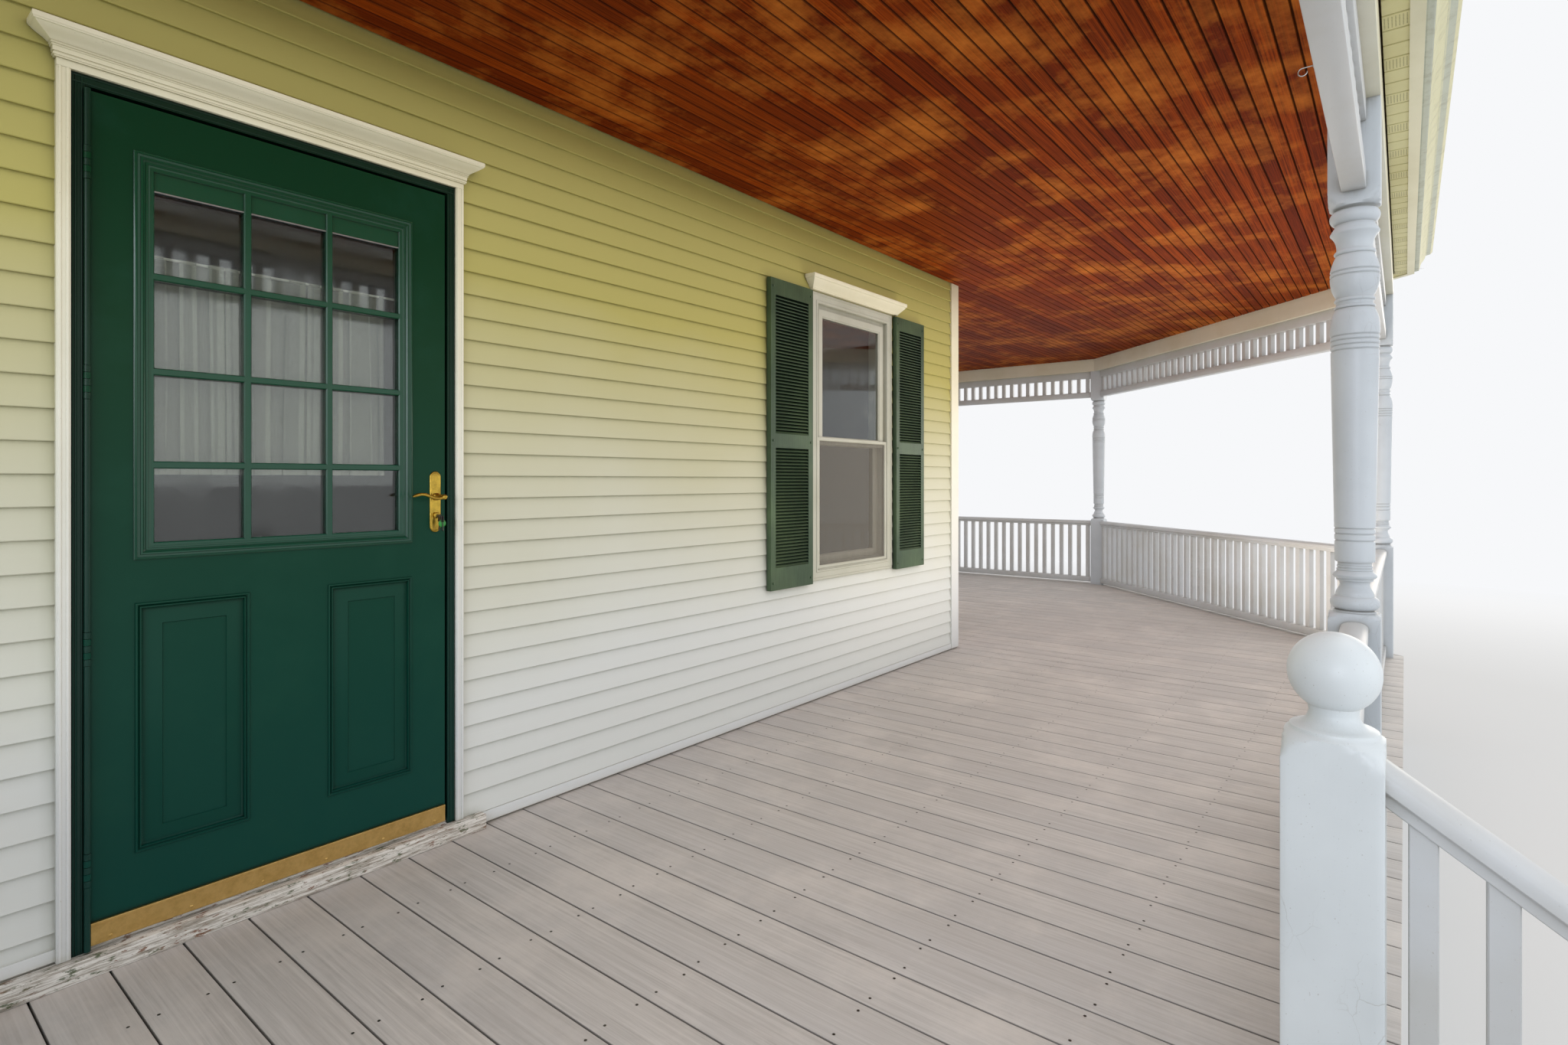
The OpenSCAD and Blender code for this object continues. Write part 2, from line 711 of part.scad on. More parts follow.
module lock_plate(y0, y1) {
    translate([handle_x, y0, deck_h]) rotate([-90, 0, 0]) {
        translate([0, -1022, 0]) cylinder(r = 18, h = y1 - y0);
        translate([0, -1182, 0]) cylinder(r = 18, h = y1 - y0);
        translate([-18, -1182, 0]) cube([36, 160, y1 - y0]);
    }
}
module lever(side) {
    translate([handle_x, side > 0 ? leaf_y + leaf_t : leaf_y, deck_h + 1121]) mirror([0, side > 0 ? 0 : 1, 0]) {
        rotate([-90, 0, 0]) cylinder(r = 9, h = 52);
        translate([0, 52, 0]) rotate([90, 0, 0]) linear_extrude(12)
            polygon([[9, -9], [9, 9], [-20, 10], [-45, 7], [-70, 1], [-88, 3], [-96, 8], [-101, 4],
                [-96, -6], [-80, -12], [-55, -10], [-20, -9]]);
    }
}
module door_handle() {
    color("goldenrod") placed() {
        lock_plate(leaf_y - 7, leaf_y);
        lock_plate(leaf_y + leaf_t, leaf_y + leaf_t + 7);
        lever(-1);
        lever(1);
        translate([handle_x, leaf_y - 14, deck_h + 1065]) rotate([-90, 0, 0]) cylinder(r = 11, h = 8);
    }
}

// Hinges: the knuckles alternate round one pin
hinge_rows = [deck_h + 208, deck_h + 732, deck_h + 1364, deck_h + 1885];
knuckle_r = 7;
pin_r = 3;
knuckle_l = 15;
pin_clear = 0.1;
module knuckle(z, hollow) {
    translate([hinge_x, hinge_y, z]) difference() {
        cylinder(r = knuckle_r, h = knuckle_l);
        if (hollow) translate([0, 0, -1]) cylinder(r = pin_r + pin_clear, h = knuckle_l + 2);
    }
}
module frame_hinge_leaves() {
    color("darkgreen") placed() for (z = hinge_rows) {
        for (i = [0, 2, 4]) {
            knuckle(z + i * (knuckle_l + 1), false);
            translate([door_x - 6, hinge_y, z + i * (knuckle_l + 1)]) cube([2, 40, knuckle_l]);
        }
        translate([door_x - 6, leaf_y + 2, z]) cube([2, 28, 5 * knuckle_l + 4]);
        translate([hinge_x, hinge_y, z + 1]) cylinder(r = pin_r, h = 5 * knuckle_l + 2);
    }
}
module door_hinge_leaves() {
    color("darkgreen") placed() for (z = hinge_rows) {
        for (i = [1, 3]) {
            difference() {
                union() {
                    knuckle(z + i * (knuckle_l + 1), false);
                    translate([door_x - 2, hinge_y, z + i * (knuckle_l + 1)]) cube([2, 40, knuckle_l]);
                }
                translate([hinge_x, hinge_y, z]) cylinder(r = pin_r + pin_clear, h = 5 * knuckle_l);
            }
        }
        translate([door_x - 2, leaf_y + 2, z]) cube([2, 28, 5 * knuckle_l + 4]);
    }
}

// Window: frame with a meeting rail, half screen below, cap and louvred shutters
window_mid = deck_h + 1385;
module window_frame() {
    x0 = window_x;
    z0 = deck_h + window_low;
    color("ivory") placed() {
        difference() {
            union() {
                window_hole(0, -16, siding_t);
                window_hole(-20, 0, wall_back);
            }
            window_hole(-58, -30, 10);
            window_hole(-90, -30, 400);
        }
        translate([x0 + 80, 22, window_mid - 22]) cube([window_w - 160, 40, 44]);
    }
}
module window_glass() {
    color("lightcyan") placed() translate([window_x + 90, 36, deck_h + window_low + 90]) {
        cube([window_w - 180, 8, window_mid - deck_h - window_low - 90 - 22]);
        translate([0, 0, window_mid + 22 - deck_h - window_low - 90])
            cube([window_w - 180, 8, window_h - 180 - (window_mid + 22 - deck_h - window_low - 90)]);
    }
}
module window_screen() {
    color("dimgray") placed() difference() {
        translate([window_x + 58, 2, deck_h + window_low + 58])
            cube([window_w - 116, 8, window_mid - deck_h - window_low - 40]);
        translate([window_x + 78, -1, deck_h + window_low + 78])
            cube([window_w - 156, 7, window_mid - deck_h - window_low - 80]);
    }
}
module window_trim() {
    color("ivory") placed() cap(window_x - 56, window_x + window_w + 84, deck_h + window_low + window_h + 4);
}
module shutter(x) {
    w = 350;
    h = 1541;
    stile = 38;
    louvre = 36;
    mid = 740;
    translate([x, -30, deck_h + 627]) {
        difference() {
            cube([w, 29, h]);
            translate([stile, -1, 110]) cube([w - 2 * stile, 20, mid - 110 - 35]);
            translate([stile, -1, mid + 35]) cube([w - 2 * stile, 20, h - 80 - mid - 35]);
        }
        louvres(stile, w, louvre, 110, mid - 35);
        louvres(stile, w, louvre, mid + 35, h - 80);
    }
}
module louvres(stile, w, louvre, z0, z1) {
    n = floor((z1 - z0) / louvre);
    pitch = (z1 - z0) / n;
    translate([stile - 1, 0, 0]) run_section(w - 2 * stile + 2)
        polygon(concat([[22, z0]], [for (i = [0:n - 1]) each [[5, z0 + i * pitch + 1], [5, z0 + i * pitch + 5],
            [17, z0 + (i + 1) * pitch - 1]]], [[22, z1]]));
}
module shutters() {
    color("darkgreen") placed() {
        shutter(3010 - 5118);
        shutter(4226 - 5118);
    }
}

piers();
foundation();
floor_frame();
porch_floor();
skirt();
stair_stringers();
stair_treads();
newels();
stair_rails();
stair_post();
front_post();
front_corner_post();
side_corner_post();
back_corner_post();
back_post();
newel_railing();
front_railing();
corner_railing();
side_railing();
end_railings();
front_beam();
corner_beam();
side_beam();
end_beams();
stair_frieze();
front_frieze();
corner_frieze();
side_frieze();
end_friezes();
ceiling();
soffit();
fascia();
gutter();
roof_deck();
roof_shingles();
wall_left();
wall_over_door();
wall_right();
side_wall();
siding();
corner_trim();
base_trim();
door_frame();
door_trim();
door_sill();
door_leaf();
door_glazing();
door_lite_frame();
door_sweep();
door_handle();
door_hinge_leaves();
frame_hinge_leaves();
window_frame();
window_glass();
window_screen();
window_trim();
shutters();
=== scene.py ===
"""A wrap-around front porch on two sided house walls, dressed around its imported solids."""

import math
import random
from functools import partial

import bmesh
import bpy
from mathutils import Matrix, Vector


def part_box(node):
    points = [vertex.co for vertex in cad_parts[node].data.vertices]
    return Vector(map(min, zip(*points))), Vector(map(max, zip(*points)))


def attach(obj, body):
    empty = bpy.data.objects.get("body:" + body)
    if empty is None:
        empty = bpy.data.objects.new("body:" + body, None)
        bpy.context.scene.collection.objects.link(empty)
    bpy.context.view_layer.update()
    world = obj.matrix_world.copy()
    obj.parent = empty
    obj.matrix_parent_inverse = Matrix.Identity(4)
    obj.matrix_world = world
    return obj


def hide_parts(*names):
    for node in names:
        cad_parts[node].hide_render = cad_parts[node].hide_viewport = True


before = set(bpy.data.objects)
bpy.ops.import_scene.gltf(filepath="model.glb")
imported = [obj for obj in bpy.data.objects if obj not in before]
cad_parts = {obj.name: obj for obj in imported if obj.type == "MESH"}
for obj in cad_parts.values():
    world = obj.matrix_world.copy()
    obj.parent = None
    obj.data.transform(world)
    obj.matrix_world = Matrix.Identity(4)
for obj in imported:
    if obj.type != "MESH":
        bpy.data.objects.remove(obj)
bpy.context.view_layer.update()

# Plan and levels in millimetres, counted from the outer corner of the house walls at ground level
MM = 0.001
trim_low, trim_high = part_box("corner_trim")
HOUSE = Vector((trim_high[0] - 6 * MM, trim_low[1] + 6 * MM, 0))
TO_FRAME = Matrix.Translation(HOUSE) @ Matrix.Diagonal((MM, MM, MM, 1))
FLOOR = 560
CEILING = FLOOR + 2530
BEAM = 2395  # underside of the beams, over the floor
LEFT, NEAR, CORNER, SIDE = -5323, -1902, 1519, 4106
FRONT, SIDE_Y, BACK = -2338, 249, 2679
NEWEL = (-3503, -2374)
FOOT_Y = -2986  # the newels at the foot of the stair
RISE, GOING = FLOOR / 3, 279
HALF = 70  # half the width of a post
WALL_DEEP = 150
DECK_OUT, DECK_PITCH, DECK_GAP, DECK_START = 125, 144, 4, -11
CEILING_PITCH = 57
TREAD_BOARD, TREAD_GAP = 143, 5
SLANT = math.tan(math.radians(22.5))
STAIR_POST, FRONT_POST, CORNER_POST = (LEFT, FRONT), (NEAR, FRONT), (CORNER, FRONT)
SIDE_POST, BACK_POST, MIDDLE_POST = (SIDE, SIDE_Y), (SIDE, BACK), (SIDE / 2, BACK)


def ring(out):
    """Plan corners of the porch's open sides, moved outwards."""
    return [(LEFT - out, 0), (LEFT - out, FRONT - out), (CORNER + out * SLANT, FRONT - out),
            (SIDE + out, SIDE_Y - out * SLANT), (SIDE + out, BACK + out), (0, BACK + out)]


def side_ends(i):
    """The two plan corners of open side i; side 0 is the left end, 1 the front, and so on round to the
    back."""
    return ring(0)[i], ring(0)[i + 1]


def inward(i):
    """Unit vector in plan that points from open side i into the porch."""
    a, b = side_ends(i)
    return Vector((a[1] - b[1], b[0] - a[0], 0)).normalized()


# Materials
def linear(code):
    """Turns an sRGB hex colour into Blender's linear values."""
    channels = [int(code[i:i + 2], 16) / 255 for i in (1, 3, 5)]
    return tuple(c / 12.92 if c <= 0.04045 else ((c + 0.055) / 1.055) ** 2.4 for c in channels) + (1.0,)


def join(made, **sockets):
    """Fills a node's inputs. Each is named with _ for a blank, or i0, i1 by its number, and takes a value,
    a hex colour, an output of another node, or another node for its first output in use."""
    for key, value in sockets.items():
        numbered = key[0] == "i" and key[1:].isdigit()
        socket = made.inputs[int(key[1:]) if numbered else key.replace("_", " ")]
        if isinstance(value, bpy.types.Node):
            value = next(output for output in value.outputs if output.enabled)
        if isinstance(value, bpy.types.NodeSocket):
            made.id_data.links.new(value, socket)
        else:
            socket.default_value = linear(value) if isinstance(value, str) else value


def node(tree, kind, **said):
    """Adds one node: its own settings, such as operation, by their names, and its inputs as join takes
    them."""
    made = tree.nodes.new("ShaderNode" + kind)
    for key, value in said.items():
        if hasattr(made, key):
            setattr(made, key, value)
        else:
            join(made, **{key: value})
    return made


def start(name, roughness, ior=1.5, **uniform):
    """A new material with its shader's uniform values, what adds its nodes, and the object's
    coordinates."""
    material = bpy.data.materials.new(name)
    material.use_nodes = True
    join(material.node_tree.nodes["Principled BSDF"], Roughness=roughness, IOR=ior, **uniform)
    add = partial(node, material.node_tree)
    return material, add, add("TexCoord").outputs["Object"]


def surface(material, relief, colour, *coats, invert=False, **others):
    """Ends a material: a colour with coats over it, each as how much of it shows and its colour, and relief
    as what raises the bump, how strongly and how high in metres."""
    tree = material.node_tree
    for share, coat in coats:
        colour = node(tree, "Mix", data_type="RGBA", Factor=share, i6=colour, i7=coat)
    height, strength, metres = relief
    bump = node(tree, "Bump", invert=invert, Height=height, Strength=strength, Distance=metres)
    join(tree.nodes["Principled BSDF"], Base_Color=colour, Normal=bump, **others)
    return material


def per_mm(x, y, z):
    """Mapping scale for a pattern that repeats in so many millimetres."""
    return tuple(1 / (size * MM) for size in (x, y, z))


def drawn_out(add, place, size, **noise):
    """Noise drawn out along the grain: its streaks have the size, in x, y and z, in millimetres."""
    return add("TexNoise", Vector=add("Mapping", Vector=place, Scale=per_mm(*size)), Scale=1.0, **noise)


def shade_in_corners(add, reach, deep, clear, most, samples=6):
    """Painted shade: grows to most where a point lies deep in a corner, as seen within reach, in metres, to
    darken a colour where shade falls.
    """
    open_share = add("AmbientOcclusion", samples=samples, Distance=reach).outputs["AO"]
    return add("MapRange", Value=open_share, i1=deep, i2=clear, i3=most, i4=0.0)


def sheen_paint(name, base, worn, grime_and_shade, grain, roughness=0.38, cracked=0.0, bleached_and_skylit=None):
    """Exterior satin paint over wood: brushed, slightly chalky, grey dirt with painted shade in its corners
    and faint lines of grain; grain is the size of its streaks. Old thick paint on turned wood is cracked in
    patches by hairlines, as strongly as cracked says, and holds dirt and painted shade in the turner's
    grooves. Vinyl trim given a low colour turns to it low down and stays yellower high up under the porch
    roof: partly real fading and partly painted light, bluish skylight low and warm bounce from the stained
    ceiling high."""
    material, add, place = start(name, roughness)
    cloud = add("TexNoise", Vector=place, Scale=2.3, Detail=4.0, Roughness=0.6)
    cloud_mask = add("MapRange", Value=cloud, i1=0.42, i2=0.72)
    shade = add("Mix", data_type="RGBA", Factor=cloud_mask, i6=base, i7=worn)
    # Low down the colour turns whiter and bluer, partly real fading and partly painted skylight; high up it
    # keeps its cream, partly painted warm bounce from the ceiling
    if bleached_and_skylit:
        high = add("MapRange", Value=add("SeparateXYZ", Vector=place).outputs["Z"], i1=0.9, i2=2.5)
        shade = add("Mix", data_type="RGBA", Factor=high, i6=bleached_and_skylit, i7=shade)
    streak = drawn_out(add, place, grain, Detail=5.0, Roughness=0.7)
    speck = add("TexNoise", Vector=place, Scale=260.0, Detail=2.0)
    speck_mask = add("MapRange", Value=speck, i1=0.70, i2=0.78, i4=0.5)
    # Painted shade in the corners, streaked, in the grime colour along with real specks of dirt
    streaked_corner_shade = add("Math", operation="MULTIPLY", i0=shade_in_corners(add, 0.05, 0.25, 0.85, 1.0), i1=streak)
    dirt_and_shade = add("Math", operation="MAXIMUM", i0=streaked_corner_shade, i1=speck_mask)
    height = streak
    if cracked:
        wander = add("TexNoise", Vector=place, Scale=30.0, Detail=4.0).outputs["Color"]
        bent = add("VectorMath", operation="MULTIPLY_ADD", i0=wander, i1=(0.02, 0.02, 0.02), i2=place)
        cell_place = add("Mapping", Vector=bent, Scale=per_mm(45, 45, 90))
        cell = add("TexVoronoi", feature="DISTANCE_TO_EDGE", Vector=cell_place, Scale=1.0)
        hairline = add("MapRange", Value=cell, i1=0.003, i2=0.012, i3=cracked, i4=0.0)
        old = add("MapRange", Value=cloud, i1=0.56, i2=0.66)
        crack = add("Math", operation="MULTIPLY", i0=hairline, i1=old)
        # Painted shade in the turner's grooves, together with the hairline cracks
        cracks_and_groove_shade = add("Math", operation="MAXIMUM", i0=crack, i1=shade_in_corners(add, 0.012, 0.4, 0.92, 0.75))
        dirt_and_shade = add("Math", operation="MAXIMUM", i0=dirt_and_shade, i1=cracks_and_groove_shade)
        height = add("Math", operation="SUBTRACT", i0=streak, i1=crack)
    return surface(material, (height, 0.35, 0.0006), shade, (dirt_and_shade, grime_and_shade))


def make_siding():
    """Lap siding of pressed vinyl: yellow under the porch ceiling, bluish grey-white low down and above the
    roof, partly the vinyl's own bleaching and yellowing and partly painted light, warm bounce from the
    stained ceiling above and skylight below; a soft embossed grain along each board, and dust runs with
    painted shade under each lap."""
    material, add, place = start("cream_vinyl_siding", 0.55, Specular_IOR_Level=0.3)
    height = add("SeparateXYZ", Vector=place).outputs["Z"]
    # Yellow high up, fading above the porch roof: partly the vinyl's own yellowing, partly painted warm
    # bounce of light from the stained ceiling
    cloud = add("TexNoise", Vector=place, Scale=0.9, Detail=3.0)
    wander = add("Math", operation="MULTIPLY_ADD", i0=cloud, i1=0.5, i2=height)
    warm_high_share = add("MapRange", Value=wander, i1=1.28, i2=2.65)
    roofed = add("MapRange", Value=height, i1=3.08, i2=3.35, i3=1.0, i4=0.12)
    yellow_and_ceiling_bounce = add("Math", operation="MULTIPLY", i0=warm_high_share, i1=roofed)
    grain = drawn_out(add, place, (240, 240, 7), Detail=4.0, Roughness=0.6)
    run = drawn_out(add, place, (60, 60, 900), Detail=5.0, Roughness=0.75)
    # Painted shade under each lap, streaked by runs of dust
    stain_and_lap_shade = add("Math", operation="MULTIPLY", i0=shade_in_corners(add, 0.03, 0.4, 0.95, 0.8, 4), i1=run)
    return surface(material, (grain, 0.25, 0.0008), "#DADEDB", (yellow_and_ceiling_bounce, "#B7B066"), (stain_and_lap_shade, "#6E6742"))


def make_gutter():
    """Folded aluminium under baked enamel, with grey runs of dried rain. Its colour follows which way a face
    turns, a painted difference of light: greenish white on the underside, cream on its front and lip."""
    material, add, place = start("baked_gutter_enamel", 0.55, Specular_IOR_Level=0.35)
    # Painted light: faces turned down keep the greenish white, the others take the cream
    facing = add("SeparateXYZ", Vector=add("NewGeometry").outputs["True Normal"])
    front = add("MapRange", Value=facing.outputs["Z"], i1=-0.95, i2=-0.75)
    run = drawn_out(add, place, (50, 50, 260), Detail=6.0, Roughness=0.7)
    run_mask = add("MapRange", Value=run, i1=0.5, i2=0.8, i4=0.6)
    dent = add("TexNoise", Vector=place, Scale=6.0, Detail=2.0)
    return surface(material, (dent, 0.2, 0.003), "#C9CFC2", (front, "#DBD7B0"), (run_mask, "#8A8468"))


def board_wood(name, pitch, first, axis, tones, streaks, blotch, joint, roughness, gloss):
    """Boards of stained or weathered wood. Each board of the pitch gets a tone of its own, long streaks run
    along it, lighter worn blotches lie across, and its edges are darkened by as many mm as joint says:
    painted shade in the grooves and gaps between boards, together with dirt there. The boards are counted
    from first, a place in plan, along X for axis 0 and along Y for axis 1."""
    material, add, place = start(name, roughness, Specular_IOR_Level=gloss)
    along = add("SeparateXYZ", Vector=place).outputs[axis]
    moved = add("Math", operation="ADD", i0=along, i1=-HOUSE[axis] - first * MM)
    counted = add("Math", operation="DIVIDE", i0=moved, i1=pitch * MM)
    board = add("TexWhiteNoise", noise_dimensions="1D", W=add("Math", operation="FLOOR", i0=counted))
    shift = add("VectorMath", operation="SCALE", i0=board.outputs["Color"], Scale=7.0)
    slid = add("VectorMath", operation="ADD", i0=place, i1=shift)
    size = (9, 420, 40) if axis == 0 else (420, 5, 40)
    streak = drawn_out(add, slid, size, Detail=7.0, Roughness=0.72, Distortion=0.4)
    streak_mask = add("MapRange", Value=streak, i1=0.36, i2=0.68)
    patch = drawn_out(add, place, (350, 350, 700), Detail=7.0, Roughness=0.66)
    patch_mask = add("MapRange", Value=patch, i1=0.48, i2=0.74, i4=0.75)
    # Painted shade and dirt along the board edges, in the grooves and gaps
    edge = add("Math", operation="PINGPONG", i0=counted, i1=0.5)
    edge_shade_and_dirt = add("MapRange", Value=edge, i1=0.3 * joint / pitch, i2=joint / pitch,
                    i3=0.85 if joint else 0.0, i4=0.0)
    return surface(material, (streak, 0.4, 0.0009), tones[0], (board, tones[1]), (streak_mask, streaks),
                   (patch_mask, blotch), (edge_shade_and_dirt, "#1E120B"))


def smooth_paint(name, base, low, dust, quirk_shade, roughness, gloss=0.5):
    """Factory enamel on a smooth skin: a deep colour that shifts a little to low near the floor, a painted
    reflection of the sky there, a soft gloss, a film of pale dust, and painted shade, dark, in the quirks of
    its mouldings."""
    material, add, place = start(name, roughness, Specular_IOR_Level=gloss)
    cloud = add("TexNoise", Vector=place, Scale=4.0, Detail=6.0, Roughness=0.65)
    mask = add("MapRange", Value=cloud, i1=0.5, i2=0.8, i4=0.35)
    speck = add("TexNoise", Vector=place, Scale=420.0, Detail=2.0)
    speck_mask = add("MapRange", Value=speck, i1=0.72, i2=0.78, i4=0.4)
    film = add("Math", operation="MAXIMUM", i0=mask, i1=speck_mask)
    # Painted reflection of the sky: the colour turns to the bluer low one near the floor
    high = add("MapRange", Value=add("SeparateXYZ", Vector=place).outputs["Z"], i1=0.7, i2=2.1)
    ripple = add("TexNoise", Vector=place, Scale=28.0, Detail=3.0)
    # Painted shade in the quirks of the mouldings, in the dark quirk colour
    return surface(material, (ripple, 0.15, 0.001), low, (high, base), (film, dust),
                   (shade_in_corners(add, 0.012, 0.35, 0.9, 0.9), quirk_shade))


def make_shutter():
    """Moulded vinyl with a pressed wood grain: fine upright lines, sun-faded a little to grey-green, and
    painted shade, dark, in the gaps of its louvres."""
    material, add, place = start("green_vinyl_shutter", 0.45, 1.53)
    fade = add("MapRange", Value=add("TexNoise", Vector=place, Scale=3.0, Detail=5.0), i1=0.4, i2=0.75)
    colour = add("Mix", data_type="RGBA", Factor=fade, i6="#385036", i7="#566E4A")
    grain = drawn_out(add, place, (2.2, 2.2, 110), Detail=5.0, Roughness=0.7)
    line = add("MapRange", Value=grain, i1=0.35, i2=0.6, i3=0.55, i4=1.0)
    darker = add("Mix", data_type="RGBA", blend_type="MULTIPLY", Factor=1.0, i6=colour, i7=line)
    # Painted shade in the gaps between the louvres
    return surface(material, (grain, 0.5, 0.0006), darker, (shade_in_corners(add, 0.03, 0.35, 0.8, 1.0), "#0D1A10"))


def make_metal(name, bright, dull, roughness):
    """Metal that was once polished: bright where hands and feet rub it, dull and rougher where it has
    tarnished, with fine scratches."""
    material, add, place = start(name, roughness, Metallic=1.0)
    cloud = add("TexNoise", Vector=place, Scale=26.0, Detail=6.0, Roughness=0.7)
    mask = add("MapRange", Value=cloud, i1=0.42, i2=0.78)
    rough = add("MapRange", Value=cloud, i3=0.7 * roughness, i4=1.6 * roughness)
    scratch = drawn_out(add, place, (60, 60, 0.8), Detail=2.0)
    return surface(material, (scratch, 0.12, 0.0004), bright, (mask, dull), Roughness=rough)


def make_glass():
    """Clear float glass with a little dust that dulls its gloss in patches."""
    material, add, place = start("clear_glass", 0.02, 1.52, Specular_IOR_Level=0.24, Transmission_Weight=1.0,
                                 Base_Color="#E9F0EE")
    dust = add("TexNoise", Vector=place, Scale=7.0, Detail=6.0)
    rough = add("MapRange", Value=dust, i1=0.45, i2=0.8, i3=0.02, i4=0.12)
    join(material.node_tree.nodes["Principled BSDF"], Roughness=rough)
    return material


def make_concrete(name, base, patch):
    """Concrete cast against boards: pale grey, pitted, with damp patches near the ground."""
    material, add, place = start(name, 0.9)
    cloud = add("TexNoise", Vector=place, Scale=3.0, Detail=8.0, Roughness=0.7)
    height = add("SeparateXYZ", Vector=place).outputs["Z"]
    low = add("MapRange", Value=height, i1=0.0, i2=0.22, i3=0.55, i4=0.0)
    damp = add("Math", operation="MULTIPLY", i0=low, i1=cloud)
    pit = add("MapRange", Value=add("TexVoronoi", Vector=place, Scale=90.0), i1=0.0, i2=0.25)
    rough_cast = add("Math", operation="ADD", i0=pit, i1=cloud)
    return surface(material, (rough_cast, 0.5, 0.002), base, (cloud, patch), (damp, "#4E4A41"))


def make_bare_timber(name, base, line, grain):
    """Sawn softwood left bare: pale, with darker lines of growth along the grain."""
    material, add, place = start(name, 0.8)
    streak = drawn_out(add, place, grain, Detail=6.0, Roughness=0.7, Distortion=0.6)
    mask = add("MapRange", Value=streak, i1=0.35, i2=0.7)
    return surface(material, (streak, 0.4, 0.001), base, (mask, line))


def make_weathered_sill():
    """Old white paint flaking off grey wood: bare fibres in long streaks, blackened cracks, and flecks of
    rust and of an older green coat."""
    material, add, place = start("flaking_white_paint", 0.75)
    streak = drawn_out(add, place, (130, 7, 7), Detail=8.0, Roughness=0.75)
    bare = add("MapRange", Value=streak, i1=0.46, i2=0.56)
    crack = add("MapRange", Value=streak, i1=0.58, i2=0.66)
    fleck = drawn_out(add, place, (36, 14, 12), Detail=6.0, Roughness=0.7)
    fleck_mask = add("MapRange", Value=fleck, i1=0.55, i2=0.60, i4=0.85)
    kind = add("MapRange", Value=add("TexNoise", Vector=place, Scale=9.0, Detail=1.0), i1=0.48, i2=0.54)
    coat = add("Mix", data_type="RGBA", Factor=kind, i6="#7A4E2E", i7="#45552E")
    return surface(material, (streak, 0.8, 0.0015), "#E6E4DE", (bare, "#A39C90"), (crack, "#39332C"),
                   (fleck_mask, coat), invert=True)


def make_shingle():
    """Asphalt shingle: coarse mineral grit in olive, brown and grey grains on black felt, and patches the
    size of a tab, 305 mm wide and 46 mm tall on the slope, that came darker from the mill."""
    material, add, place = start("mineral_grit_shingle", 0.92)
    grit = add("TexVoronoi", Vector=place, Scale=220.0)
    spread = add("TexNoise", Vector=place, Scale=5.0, Detail=5.0)
    grains = add("ValToRGB", Fac=grit.outputs["Color"])
    grains.color_ramp.elements.new(0.55)
    for element, code in zip(grains.color_ramp.elements, ("#2F2B22", "#5C5540", "#8F8769")):
        element.color = linear(code)
    tab_place = add("Mapping", Vector=place, Scale=per_mm(305, 305, 46))
    tab = add("TexVoronoi", Vector=tab_place, Scale=1.0, Randomness=0.6).outputs["Color"]
    tab_tone = add("MapRange", Value=add("SeparateXYZ", Vector=tab).outputs["X"], i3=0.0, i4=0.5)
    return surface(material, (grit, 0.7, 0.002), grains, (spread, "#575038"), (tab_tone, "#39342A"))


def make_plaster():
    """Gypsum wall board under flat interior paint: even, with a faint roller texture."""
    material, add, place = start("flat_interior_paint", 0.85)
    cloud = add("TexNoise", Vector=place, Scale=1.4, Detail=3.0)
    roller = add("TexNoise", Vector=place, Scale=350.0, Detail=2.0)
    return surface(material, (roller, 0.25, 0.0006), "#E0DBCF", (cloud, "#D3CDBF"))


def make_cloth(name, base, thread_tone, solid):
    """Woven cloth, from blackout to thin voile: fine threads, which let the dark room show between them
    where the weave is open."""
    material, add, place = start(name, 0.9, Alpha=solid)
    thread = drawn_out(add, place, (3, 3, 3), Detail=2.0)
    return surface(material, (thread, 0.3, 0.0005), base, (thread, thread_tone))


GREYED = (("#CDC9C6", "#D8D3CE"), "#BAB5B0", "#E1DAD3")
